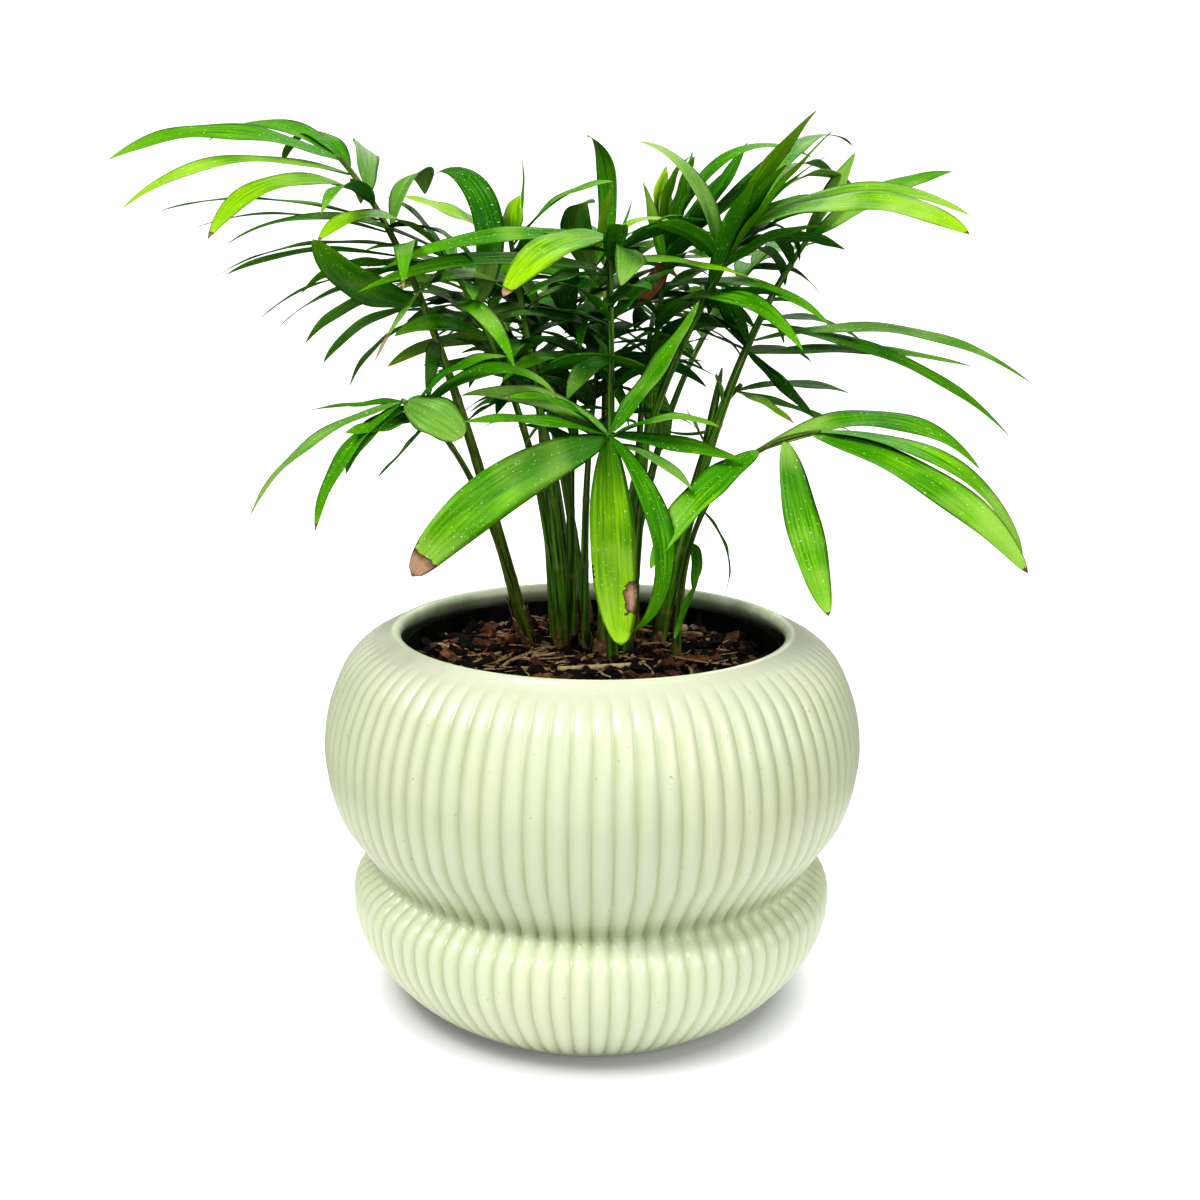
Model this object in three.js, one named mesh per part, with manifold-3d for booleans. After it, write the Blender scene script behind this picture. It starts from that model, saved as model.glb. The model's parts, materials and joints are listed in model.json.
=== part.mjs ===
// A parlour palm in a fluted ceramic pot. Millimetres, +Z up, the viewer's side is -Y.
// The pot stands on z = 0 with its axis on the origin.
import * as THREE from "three";
import { mergeVertices } from "three/addons/utils/BufferGeometryUtils.js";
import Module from "manifold-3d";

const wasm = await Module();
wasm.setup();

// ---- Driving dimensions -------------------------------------------------------------
const GAP = 0.3; // clear space between pieces that touch
const CLEAR = 0.32; // least space between a leaflet and any other frond or stem
const OWN_CLEAR = 0.05; // and between it and its own stem

// Pot: heights and outer radii at the crest of the ribs, from the foot to the shoulder.
const POT_OUTSIDE = [
  [0, 70.8],
  [9, 82.5],
  [20, 91.6],
  [32, 97.9],
  [45, 99.9],
  [56, 91.2],
  [70, 97.3],
  [81, 104.5],
  [93, 108.3],
  [108, 110],
  [124, 107.6],
  [143, 98.2],
  [148, 93.6],
];
const POT_FLUTES = 84; // grooves round the pot
const FLUTE_DEPTH = 2.0;
const FLUTE_TOP = 143; // the ribs fade into a smooth shoulder here
const LIP_RADIUS = 80.9; // middle of the rolled lip
const LIP_HEIGHT = 152;
const LIP_ROLL = 2.7;
const LIP_TURNS = [30, 90]; // where the roll is cut
const POT_FLOOR = 7;

// Heights and inner radii of the hollow, from the floor to just above the lip.
const POT_INSIDE = [
  [7, 66],
  [20, 83],
  [45, 91.4],
  [56, 83],
  [70, 88.5],
  [93, 99.5],
  [124, 99],
  [140, 91],
  [148, 81],
  [152, 78.2],
  [154.2, 79.2],
  [156, 81.4],
];

// Liner: the thin nursery pot the palm grows in.
const LINER_TOP = [143, 77]; // height, outer radius
const LINER_FOOT_RADIUS = 60;
const LINER_WALL = 1.4;
const ROUND_SIDES = 48; // of the liner, the soil and the hollow of the pot

// Soil: flat round the stems, a little lower at the edge.
const SOIL_TOP = 136;
const SOIL_FLAT_RADIUS = 60;
const SOIL_EDGE = 134.4;

// Stems: one cane each, a bare lower part and a leafy upper part.
// foot x, foot y, bearing, rise, droop, length, sweep, late, bare share, foot radius
// bearing 0 leans to the viewer, 90 to +X; the rise falls by droop * q^late along q = 0..1.
const STEMS = {
  left_high: [-27, 27, 320, 71, 24, 220, -25, 5, 0.62, 3.6],
  left_inner: [-15, 20, 335, 86, 29, 180, -45, 1, 0.76, 2.6],
  left_low: [-25, 14, 340, 60, 37, 150, -15, 3.5, 0.86, 2.2],
  left_back: [-16, 31, 235, 85, 13, 150, -10, 5, 0.69, 2.8],
  top_left: [-13, 12, 0, 83, 4, 175, -120, 1, 0.79, 3.2],
  top_middle: [-9, 27, 175, 97, 27, 165, -40, 1.5, 0.63, 2.9],
  centre_back: [-3, 13, 125, 92, 19, 135, 25, 2, 0.78, 2.4],
  centre_high: [3, 2, 40, 85, 2, 175, -65, 4.5, 0.78, 2.9],
  centre_front: [8, -14, 355, 78, 15, 110, 0, 1, 0.95, 2.8],
  top_right: [15, 22, 75, 86, 6, 170, -10, 5, 0.62, 2.9],
  right_high: [15, 4, 135, 99, 48, 190, -95, 1, 0.86, 3.1],
  right_far: [26, 17, 55, 77, 24, 185, 50, 3, 0.69, 3.9],
  right_spur: [27, 48, 50, 75, 36, 125, -5, 5, 0.93, 1.9],
  right_low: [34, -4, 355, 76, 68, 140, 70, 2, 0.42, 2.4],
  back_left: [-9, 38, 225, 84, 60, 190, 0, 2, 0.6, 2.8],
  back_mid_left: [-2, 47, 205, 70, 62, 220, 0, 2, 0.59, 2.8],
  back_middle: [4, 31, 180, 89, 46, 180, 0, 2, 0.65, 2.8],
  back_mid_right: [18, 46, 170, 92, 92, 190, 0, 2, 0.59, 2.8],
  back_right: [11, 35, 125, 80, 45, 190, 0, 2, 0.65, 2.8],
};

// Fronds: the leaflets of each grow in pairs by one rule, from these sizes.
// pairs, reach of the longest, station of the last pair on the cane, lift of its leaflets
const FRONDS = {
  left_high: [7, 100, 0.9, -5],
  left_inner: [3, 42, 0.95, 20],
  left_low: [2, 45, 0.97, -20],
  left_back: [3, 60, 0.97, 14],
  top_left: [2, 50, 0.95, 14],
  top_middle: [2, 55, 0.9, 14],
  centre_back: [3, 38, 0.97, 14],
  centre_high: [2, 45, 0.94, 14],
  centre_front: [1, 50, 0.98, 14],
  top_right: [5, 38, 0.97, 14],
  right_high: [2, 60, 0.94, 14],
  right_far: [2, 50, 0.8, -20],
  right_spur: [0, 0, 0, 14],
  right_low: [0, 0, 0, 14],
  back_left: [7, 56, 1, 14],
  back_mid_left: [7, 63, 1, 14],
  back_middle: [7, 56, 1, 14],
  back_mid_right: [7, 55, 1, 14],
  back_right: [7, 60, 1, 14],
};

// Leaflets that stand out in the crown are set one by one, in degrees and millimetres:
// station on the cane, bearing, rise, droop, reach, width, roll, sweep (0 if left out)
const MARKED = {
  left_high: [ // the fan that reaches furthest left
    [0.99, 290, 25, 60, 90, 13, 30],
    [0.99, 240, 35, 65, 65, 13, -30],
    [0.96, 300, 15, 55, 90, 10, 20, 5],
    [0.92, 320, 15, 65, 80, 12, 20],
    [0.92, 190, 55, 90, 65, 11, -35],
    [0.71, 330, 5, -55, 70, 15, -35],
  ],
  left_inner: [ // two that hang to the viewer, and one that curls up
    [1, 325, 30, 65, 60, 11, 0],
    [0.99, 290, 25, 60, 85, 10, -20],
    [0.96, 345, -15, 20, 70, 12, -10],
    [0.85, 205, 120, 145, 80, 13, -30, -5],
  ],
  left_low: [ // low leaflets over the left of the pot
    [0.99, 240, -20, 10, 45, 12, -20],
    [1, 290, -15, 50, 70, 13, -5],
    [1, 320, -25, 70, 65, 12, -55, -10],
    [0.96, 90, 50, 55, 40, 12, 0],
    [0.99, 70, -20, 20, 25, 15, -40],
    [0.93, 105, 45, 80, 60, 10, -30],
  ],
  left_back: [[0.87, 305, 5, 40, 70, 12, -5]],
  top_left: [ // two long ones to the viewer
    [0.99, 305, 25, 0, 60, 10, -5],
    [0.98, 70, 40, 15, 45, 10, 20],
    [0.84, 340, 35, 75, 90, 11, -20],
    [0.8, 330, 30, 40, 100, 13, -30],
  ],
  top_middle: [ // upright blades at the top
    [0.99, 340, 135, 145, 65, 13, 25],
    [0.96, 310, 65, 35, 55, 13, -20, 90],
    [0.8, 315, 45, 5, 55, 14, 30, 85],
  ],
  centre_high: [ // one that folds over its own middle
    [1, 325, -5, 60, 70, 14, 30],
    [0.98, 65, -25, 45, 35, 13, 15, -120],
    [0.95, 75, 0, 20, 55, 12, -45],
  ],
  centre_front: [ // the broad low leaves in front of the stems
    [0.98, 300, -10, 50, 95, 20, -80],
    [0.99, 0, -85, -30, 80, 18, -5, -15],
    [1, 20, -10, 170, 115, 16, 10, -15],
    [1, 80, 0, 10, 50, 9, 35],
    [1, 300, 15, 20, 60, 12, -20],
    [1, 250, 30, 45, 65, 13, -35, 10],
    [0.99, 110, 50, -10, 60, 12, -15],
  ],
  top_right: [ // upright tips and long arches
    [0.98, 240, 55, -25, 40, 11, -75, -140],
    [0.98, 40, 105, 90, 35, 11, -15],
    [0.99, 35, 75, 20, 40, 11, -30],
    [1, 100, 70, 120, 90, 10, 25, -10],
    [0.91, 50, 10, 50, 85, 10, -20],
    [0.86, 20, 20, 50, 90, 14, 40],
    [0.67, 150, -55, 45, 55, 14, 10, -5],
  ],
  right_high: [ // the fan that reaches up and to the right
    [0.87, 265, 90, 70, 60, 11, 35],
    [0.87, 30, 60, 40, 70, 13, 0],
    [0.9, 40, 50, 10, 70, 11, -5],
    [0.99, 50, 15, 45, 95, 13, 30],
    [1, 75, 30, 55, 85, 11, -30],
    [0.97, 155, 50, 120, 105, 11, 45, 10],
  ],
  right_far: [ // long level leaflets at the far right
    [1, 115, 30, 20, 75, 12, -25],
    [1, 135, 50, 0, 45, 12, 10],
    [0.75, 65, 10, 40, 115, 11, -15],
    [0.79, 90, -10, 30, 100, 11, -35],
    [0.72, 100, 5, 20, 95, 11, -15],
  ],
  right_low: [ // the lit arches over the right of the pot
    [0.99, 70, 0, 70, 95, 12, -15],
    [0.97, 55, -10, 40, 100, 13, -25],
    [0.79, 80, 30, 75, 85, 13, -25],
    [0.9, 20, -60, -15, 65, 12, -5],
    [0.82, 310, -15, 60, 75, 10, 25, -10],
    [0.43, 30, -30, 45, 50, 11, -65, -110],
    [0.55, 75, -50, 75, 30, 8, 5],
  ],
  right_spur: [ // a short side shoot
    [0.97, 95, 10, 15, 50, 11, -15, 10],
    [0.97, 110, -15, 0, 45, 10, 15],
    [0.97, 55, 0, 50, 35, 10, -5],
  ],
};

// Canes: round, with a flared foot, thinner towards the last leaflet.
const STEM_STEPS = 100; // parts of a cane's arc
const STEM_SIDES = 6;
const STEM_PARTS = 6; // rings of faces between the foot and the first leaflet
const FOOT_CUTS = [4, 14]; // distances up the cane where the flare is cut
const FLARE = 0.3; // extra radius at the foot, as a share
const FLARE_REACH = 6;
const TOP_SHARE = 0.66; // radius at the first leaflet, as a share of the foot's
const TIP_RADIUS = 1.1; // at the last leaflet
const RACHIS_SIDES = 3; // of the leafy part
const RACHIS_PARTS = 5;
const SHORT_RACHIS = 25; // below this length the leafy part has two parts
const LAST_STATION = 0.995; // the end leaflets start just inside the cane's tip

// Leaflets: a blade folded along its rib, pointed at both ends.
const LEAF_STEPS = 24; // parts of a leaflet's arc
const LEAF_LATE = 1.5; // it bends mostly past its middle
const BLADE_CUTS = [0.1, 0.3, 0.55, 0.8]; // where the outline of a blade is cut
const BENT_CUTS = [0.08, 0.24, 0.45, 0.67, 0.87]; // and of one that bends strongly
const STRONG_BEND = 65;
const BLADE_RISE = 0.6; // shape of the outline before its widest place
const BLADE_FALL = 0.9; // and after it
const LEAF_THICK = 1.3;
const THICK_SHARE = 80; // a long leaflet is at least its reach over this thick
const FOLD = 0.2; // lift of the edges, as a share of the half width

// The rule of a frond: spread and reach change from its first pair to its last.
const FIRST_PAIR = 0.03; // station of the first pair past the bare part
const SPREAD = [75, 27]; // angle off the cane at the first and the last pair
const SLOPE_SHARE = 0.35; // how far a leaflet follows the slope of its cane
const LIFT_RANGE = [-25, 45];
const FALL = 52; // droop of a leaflet
const REACH_SHARE = [0.72, 0.28]; // least reach, and how much it swells past that
const SWELL = [0.15, 0.75]; // start and span of the swell, as shares of a half turn
const RULE_WIDTH = 11;
const RULE_ROLL = 12;
const TURN_VARIES = 8; // degrees, either way
const FALL_VARIES = 14;
const REACH_VARIES = 0.08;

// ---- Geometry helpers ---------------------------------------------------------------
const rad = THREE.MathUtils.degToRad;

function heading(elevation, bearing) {
  const e = rad(elevation);
  const b = rad(bearing);
  return new THREE.Vector3(Math.cos(e) * Math.sin(b), -Math.cos(e) * Math.cos(b), Math.sin(e));
}

// Points of a bending arc, by steps taken at the middle of each part.
function arc(start, bearing, rise, droop, reach, sweep, late, steps) {
  const points = [start.clone()];
  for (let i = 0; i < steps; i++) {
    const q = (i + 0.5) / steps;
    const step = heading(rise - droop * q ** late, bearing + sweep * q);
    points.push(points[i].clone().addScaledVector(step, reach / steps));
  }
  return points;
}

function along(points, q) {
  const at = q * (points.length - 1);
  const i = Math.min(Math.floor(at), points.length - 2);
  return points[i].clone().lerp(points[i + 1], at - i);
}

// The level side direction and the upper side direction of an arc at q.
function frameAt(q, bearing, rise, droop, sweep, late) {
  const b = bearing + sweep * q;
  const tangent = heading(rise - droop * q ** late, b);
  const side = new THREE.Vector3(Math.cos(rad(b)), Math.sin(rad(b)), 0);
  return { tangent, side, up: side.clone().cross(tangent).normalize() };
}

// A closed skin over rings of points: each ring has the same count, a ring of one point is a tip.
function skin(rings) {
  const position = rings.flat().flatMap((p) => [p.x, p.y, p.z]);
  const index = [];
  let first = 0;
  for (let r = 0; r + 1 < rings.length; r++) {
    const n = rings[r].length;
    const m = rings[r + 1].length;
    const next = first + n;
    for (let i = 0; i < Math.max(n, m); i++) {
      const a = first + (i % n);
      const b = first + ((i + 1) % n);
      const c = next + (i % m);
      const d = next + ((i + 1) % m);
      if (n > 1) index.push(a, b, m > 1 ? d : c);
      if (m > 1) index.push(a, d, c);
    }
    first = next;
  }
  const cap = (start, n, turn) => {
    for (let i = 1; i + 1 < n; i++) {
      index.push(start, turn ? start + i + 1 : start + i, turn ? start + i : start + i + 1);
    }
  };
  cap(0, rings[0].length, true);
  cap(first, rings[rings.length - 1].length, false);
  const geometry = new THREE.BufferGeometry();
  geometry.setAttribute("position", new THREE.Float32BufferAttribute(position, 3));
  geometry.setIndex(index);
  return geometry;
}

function solidOf(geometry) {
  geometry.deleteAttribute("normal");
  geometry.deleteAttribute("uv");
  const merged = mergeVertices(geometry, 1e-3);
  const triVerts = new Uint32Array(merged.index.array);
  const vertProperties = new Float32Array(merged.attributes.position.array);
  return new wasm.Manifold(new wasm.Mesh({ numProp: 3, vertProperties, triVerts }));
}

function geometryOf(solid) {
  const mesh = solid.getMesh();
  const geometry = new THREE.BufferGeometry();
  const flat = new Float32Array(mesh.numVert * 3);
  for (let i = 0; i < mesh.numVert; i++) {
    const from = i * mesh.numProp;
    flat.set(mesh.vertProperties.subarray(from, from + 3), i * 3);
  }
  geometry.setAttribute("position", new THREE.BufferAttribute(flat, 3));
  geometry.setIndex(new THREE.BufferAttribute(mesh.triVerts, 1));
  return geometry;
}

// The largest body of a solid: scraps a boolean leaves are dropped.
function oneBody(solid) {
  const bodies = solid.decompose();
  bodies.sort((a, b) => b.volume() - a.volume());
  return bodies[0];
}

const root = new THREE.Group();
root.name = "potted_palm";

function addNode(name, solid, colour, roughness) {
  const geometry = geometryOf(solid);
  geometry.computeVertexNormals();
  const material = new THREE.MeshStandardMaterial({ color: colour, roughness, metalness: 0 });
  const mesh = new THREE.Mesh(geometry, material);
  mesh.name = name;
  root.add(mesh);
}

// ---- Pot, liner and soil ------------------------------------------------------------
// A ring of points at height z; odd points drop into a groove of the given depth.
function potRing(z, radius, depth, count) {
  const ring = [];
  for (let i = 0; i < count; i++) {
    const angle = (2 * Math.PI * i) / count;
    const r = radius - (i % 2 ? depth : 0);
    ring.push(new THREE.Vector3(r * Math.cos(angle), r * Math.sin(angle), z));
  }
  return ring;
}

function turned(profile, segments) {
  const points = profile.map(([z, r]) => new THREE.Vector2(r, z));
  const lathe = new THREE.LatheGeometry(points, segments);
  lathe.rotateX(Math.PI / 2);
  lathe.deleteAttribute("normal");
  lathe.deleteAttribute("uv");
  const solid = solidOf(lathe);
  if (solid.volume() > 0) return solid;
  lathe.index.array.reverse();
  return solidOf(lathe);
}

function makePot() {
  const count = POT_FLUTES * 2;
  const rings = [];
  for (const [z, r] of POT_OUTSIDE) {
    const inside = z > 0 && z < FLUTE_TOP;
    rings.push(potRing(z, r, inside ? FLUTE_DEPTH : 0, count));
  }
  for (const turn of LIP_TURNS) {
    const z = LIP_HEIGHT + LIP_ROLL * Math.sin(rad(turn));
    rings.push(potRing(z, LIP_RADIUS + LIP_ROLL * Math.cos(rad(turn)), 0, count));
  }
  const outside = solidOf(skin(rings));
  const mouth = POT_INSIDE[POT_INSIDE.length - 1][0];
  const hollow = turned([[POT_FLOOR, 0], ...POT_INSIDE, [mouth, 0]], ROUND_SIDES);
  return oneBody(outside.subtract(hollow));
}

function linerRadius(z) {
  const low = POT_FLOOR + GAP;
  return LINER_FOOT_RADIUS + ((LINER_TOP[1] - LINER_FOOT_RADIUS) * (z - low)) / (LINER_TOP[0] - low);
}

function makeLiner() {
  const low = POT_FLOOR + GAP;
  const floor = low + LINER_WALL;
  return turned(
    [
      [low, 0],
      [low, LINER_FOOT_RADIUS],
      [LINER_TOP[0], LINER_TOP[1]],
      [LINER_TOP[0], LINER_TOP[1] - LINER_WALL],
      [floor, linerRadius(floor) - LINER_WALL],
      [floor, 0],
    ],
    ROUND_SIDES,
  );
}

function makeSoil() {
  const low = POT_FLOOR + GAP + LINER_WALL + GAP;
  const inside = (z) => linerRadius(z) - LINER_WALL - GAP;
  return turned(
    [
      [low, 0],
      [low, inside(low)],
      [SOIL_EDGE, inside(SOIL_EDGE)],
      [SOIL_TOP, SOIL_FLAT_RADIUS],
      [SOIL_TOP, 0],
    ],
    ROUND_SIDES,
  );
}

// ---- Stems and fronds ---------------------------------------------------------------
function caneOf(name) {
  const [x, y, bearing, rise, droop, length, sweep, late, bare, radius] = STEMS[name];
  const foot = new THREE.Vector3(x, y, SOIL_TOP + GAP);
  const points = arc(foot, bearing, rise, droop, length, sweep, late, STEM_STEPS);
  const frame = (q) => frameAt(q, bearing, rise, droop, sweep, late);
  return { points, frame, length, bare, radius };
}

// Radius of a cane: a flared foot, a slow taper to the first leaflet, a quicker one to the tip.
function caneRadius(cane, q) {
  const top = cane.radius * TOP_SHARE;
  const flare = 1 + FLARE * Math.exp((-q * cane.length) / FLARE_REACH);
  if (q <= cane.bare) return flare * (cane.radius + ((top - cane.radius) * q) / cane.bare);
  return top + ((TIP_RADIUS - top) * (q - cane.bare)) / (1 - cane.bare);
}

function caneRing(cane, q, sides) {
  const centre = along(cane.points, q);
  const { tangent, side, up } = cane.frame(q);
  const radius = caneRadius(cane, q);
  const ring = [];
  for (let i = 0; i < sides; i++) {
    const a = (2 * Math.PI * i) / sides;
    const p = centre.clone();
    p.addScaledVector(side, radius * Math.cos(a));
    p.addScaledVector(up, -radius * Math.sin(a));
    if (q === 0) p.addScaledVector(tangent, (centre.z - p.z) / tangent.z);
    ring.push(p);
  }
  return ring;
}

function makeStem(cane) {
  const low = FOOT_CUTS.map((distance) => distance / cane.length);
  const from = low[low.length - 1];
  const cuts = [0, ...low];
  for (let i = 1; i <= STEM_PARTS; i++) cuts.push(from + ((cane.bare - from) * i) / STEM_PARTS);
  return solidOf(skin(cuts.map((q) => caneRing(cane, q, STEM_SIDES))));
}

function makeRachis(cane) {
  const start = cane.bare + GAP / cane.length;
  const parts = cane.length * (1 - cane.bare) > SHORT_RACHIS ? RACHIS_PARTS : 2;
  const rings = [];
  for (let i = 0; i <= parts; i++) {
    rings.push(caneRing(cane, start + ((1 - start) * i) / parts, RACHIS_SIDES));
  }
  return solidOf(skin(rings));
}

function bladeShare(q) {
  const widest = BLADE_RISE / (BLADE_RISE + BLADE_FALL);
  return (q / widest) ** BLADE_RISE * ((1 - q) / (1 - widest)) ** BLADE_FALL;
}

// A leaflet of a cane, from one row of sizes.
function makeLeaflet(cane, row) {
  const [station, bearing, rise, droop, reach, width, roll, sweep = 0] = row;
  const start = along(cane.points, Math.min(station, LAST_STATION));
  const points = arc(start, bearing, rise, droop, reach, sweep, LEAF_LATE, LEAF_STEPS);
  const thick = Math.max(LEAF_THICK, reach / THICK_SHARE);
  const rings = [[points[0]]];
  const bent = Math.abs(droop) + Math.abs(sweep) > STRONG_BEND;
  for (const q of bent ? BENT_CUTS : BLADE_CUTS) {
    const { side, up } = frameAt(q, bearing, rise, droop, sweep, LEAF_LATE);
    const across = side.clone().multiplyScalar(Math.cos(rad(roll)));
    across.addScaledVector(up, Math.sin(rad(roll)));
    const lift = up.clone().multiplyScalar(Math.cos(rad(roll)));
    lift.addScaledVector(side, -Math.sin(rad(roll)));
    const half = (bladeShare(q) * width) / 2;
    const centre = along(points, q);
    rings.push([
      centre.clone().addScaledVector(across, half).addScaledVector(lift, half * FOLD),
      centre.clone().addScaledVector(lift, -thick),
      centre.clone().addScaledVector(across, -half).addScaledVector(lift, half * FOLD),
    ]);
  }
  rings.push([points[LEAF_STEPS]]);
  return solidOf(skin(rings));
}

// A number between -1 and 1 that is the same each time for the same key.
function wobble(key) {
  const v = Math.sin(key * 12.9898) * 43758.5453;
  return 2 * (v - Math.floor(v)) - 1;
}

// Leaflets of a frond, in pairs that spread wide at first and close up to the tip.
function ruleLeaflets(name, seed) {
  const [pairs, reach, last, raised] = FRONDS[name];
  const [, , bearing, rise, droop, , , late, bare] = STEMS[name];
  const first = bare + FIRST_PAIR;
  const rows = [];
  for (let i = 0; i < pairs; i++) {
    const f = pairs > 1 ? i / (pairs - 1) : 0;
    const station = first + (last - first) * f;
    const slope = rise - droop * station ** late;
    const level = THREE.MathUtils.clamp(slope * SLOPE_SHARE + raised, ...LIFT_RANGE);
    const swell = Math.sin(Math.PI * (SWELL[0] + SWELL[1] * f));
    for (const hand of [-1, 1]) {
      const key = seed * 100 + i * 2 + (hand > 0 ? 1 : 0);
      const spread = SPREAD[0] + (SPREAD[1] - SPREAD[0]) * f + TURN_VARIES * wobble(key);
      const lift = level + TURN_VARIES * wobble(key + 0.3);
      const fall = FALL + FALL_VARIES * wobble(key + 0.6);
      const varied = reach * (1 + REACH_VARIES * wobble(key + 0.9));
      const size = varied * (REACH_SHARE[0] + REACH_SHARE[1] * swell);
      rows.push([station, bearing + hand * spread, lift, fall, size, RULE_WIDTH, -hand * RULE_ROLL]);
    }
  }
  return rows;
}

// ---- Assembly -----------------------------------------------------------------------
const pot = makePot();
const liner = makeLiner();
const soil = makeSoil();
addNode("pot", pot, 0xdbe2c8, 0.3);
addNode("liner", liner, 0x1c1c1a, 0.6);
addNode("soil", soil, 0x4a3022, 0.95);

const names = Object.keys(STEMS);
const canes = names.map((name) => caneOf(name));
const stems = canes.map((cane) => makeStem(cane));
const fronds = canes.map((cane) => makeRachis(cane));
const leftOut = [];

function isClear(blade, own) {
  if ([pot, liner, soil].some((piece) => blade.minGap(piece, CLEAR) < CLEAR)) return false;
  return names.every((_, i) => {
    if (blade.minGap(stems[i], CLEAR) < (i === own ? OWN_CLEAR : CLEAR)) return false;
    return i === own || blade.minGap(fronds[i], CLEAR) >= CLEAR;
  });
}

// Adds the leaflets of one frond; one that would touch another piece is left out.
function grow(i, rows, kind) {
  rows.forEach((row, k) => {
    const blade = makeLeaflet(canes[i], row);
    if (isClear(blade, i)) fronds[i] = fronds[i].add(blade);
    else leftOut.push(names[i] + " " + kind + " " + k);
  });
}

names.forEach((name, i) => grow(i, MARKED[name] ?? [], "marked"));
names.forEach((name, i) => grow(i, ruleLeaflets(name, i), "rule"));

names.forEach((name, i) => {
  addNode("stem_" + name, stems[i], 0x4d8a2a, 0.5);
  addNode("frond_" + name, oneBody(fronds[i]), 0x4aa31e, 0.45);
});
if (leftOut.length) console.log("left out: " + leftOut.join(", "));

export default root;
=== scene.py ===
# %% [markdown]
# A young parlour palm in a ribbed, waisted ceramic pot. The frame holds where the pot, the
# canes and the fronds are. This lesson dresses them: the pot gets its ribs and glaze, the
# bark mix its chips, and each frond grows real leaflets by the same rule as its solid.
# Shapes are worked out in millimetres as whole arrays, and turned to metres in one place.

# %% Load the frame
import json

import bpy
import numpy as np
from mathutils import Matrix, Vector

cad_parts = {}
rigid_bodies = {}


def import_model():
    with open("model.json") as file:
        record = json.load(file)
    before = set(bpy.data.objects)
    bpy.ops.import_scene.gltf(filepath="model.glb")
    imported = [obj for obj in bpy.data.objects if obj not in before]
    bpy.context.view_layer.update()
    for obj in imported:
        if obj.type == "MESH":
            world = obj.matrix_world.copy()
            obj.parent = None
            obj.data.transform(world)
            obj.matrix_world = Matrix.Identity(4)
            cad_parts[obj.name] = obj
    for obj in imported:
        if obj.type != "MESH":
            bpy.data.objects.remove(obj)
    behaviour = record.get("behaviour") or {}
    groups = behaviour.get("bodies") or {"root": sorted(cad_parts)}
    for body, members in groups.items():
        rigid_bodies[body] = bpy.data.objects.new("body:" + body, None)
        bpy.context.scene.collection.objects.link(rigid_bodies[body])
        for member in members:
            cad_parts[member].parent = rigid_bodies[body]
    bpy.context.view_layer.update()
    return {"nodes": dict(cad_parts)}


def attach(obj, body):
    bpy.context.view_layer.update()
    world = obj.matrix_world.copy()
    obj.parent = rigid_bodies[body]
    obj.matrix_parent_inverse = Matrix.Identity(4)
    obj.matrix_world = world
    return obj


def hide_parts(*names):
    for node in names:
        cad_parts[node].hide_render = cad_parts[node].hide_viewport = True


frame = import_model()
MM = 0.001
print("frame nodes:", len(frame["nodes"]))

# %% [markdown]
# Every piece below is a grid of points: rows along a profile or a path, and columns round
# it. Neighbouring rows are joined by quads, and the ends are closed by a fan of triangles
# to one point. Making this once keeps the faces of all pieces turned outwards.

# %% Helpers for closed shapes
def round_quads(rows, cols):
    """Quads between neighbouring rows of points, where each row closes on itself."""
    start = np.arange(rows - 1)[:, None] * cols
    here = np.arange(cols)[None, :]
    after = (here + 1) % cols
    corners = [start + here, start + after, start + cols + after, start + cols + here]
    return np.stack(corners, -1).reshape(-1, 4)


def end_fans(rows, cols):
    """Triangles that close a tube: its first row to point rows*cols, its last to the next."""
    here = np.arange(cols)
    after = (here + 1) % cols
    first = np.full(cols, rows * cols)
    last = (rows - 1) * cols
    low = np.stack([first, after, here], -1)
    high = np.stack([first + 1, last + here, last + after], -1)
    return np.vstack([low, high])


def tube_faces(rows, cols, count=1):
    """The faces of count closed tubes, each with rows * cols points and two end points."""
    shift = np.arange(count)[:, None, None] * (rows * cols + 2)
    return [(faces[None] + shift).reshape(-1, faces.shape[1])
            for faces in (round_quads(rows, cols), end_fans(rows, cols))]


def new_object(name, points, faces, smooth=True):
    """An object whose place is in its points, given in millimetres."""
    mesh = bpy.data.meshes.new(name)
    corners = np.concatenate([f.ravel() for f in faces])
    sides = np.concatenate([np.full(len(f), f.shape[1]) for f in faces])
    mesh.vertices.add(len(points))
    mesh.vertices.foreach_set("co", (points * MM).astype(np.float32).ravel())
    mesh.loops.add(len(corners))
    mesh.loops.foreach_set("vertex_index", corners.astype(np.int32))
    mesh.polygons.add(len(sides))
    mesh.polygons.foreach_set("loop_start", (np.cumsum(sides) - sides).astype(np.int32))
    mesh.polygons.foreach_set("use_smooth", np.full(len(sides), smooth))
    mesh.update(calc_edges=True)
    made = bpy.data.objects.new(name, mesh)
    bpy.context.scene.collection.objects.link(made)
    return made


def new_piece(name, points, faces, replaces=(), material=None, smooth=True):
    """A piece of the plant or its pot, riding on the one body."""
    piece = new_object(name, points, faces, smooth)
    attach(piece, "root")
    if replaces:
        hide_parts(*replaces)
    if material:
        piece.data.materials.append(material)
    return piece


def give_uv(piece, across, along):
    """A UV map from two numbers a point: across the surface, and along it."""
    mesh = piece.data
    corner = np.zeros(len(mesh.loops), np.int32)
    mesh.loops.foreach_get("vertex_index", corner)
    both = np.stack([across, along], -1)[corner].astype(np.float32)
    mesh.uv_layers.new(name="surface").data.foreach_set("uv", both.ravel())


def give_value(piece, name, values):
    """A named number for each point, for a material to read."""
    layer = piece.data.attributes.new(name, "FLOAT", "POINT")
    layer.data.foreach_set("value", np.asarray(values, np.float32))


# %% [markdown]
# Materials are small node trees. A recipe starts from one Principled shader and a plain
# base colour, and each step paints another colour over it where a texture or a value of
# the piece says so. Numbers that are the same all over go straight on the shader's sockets.

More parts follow.
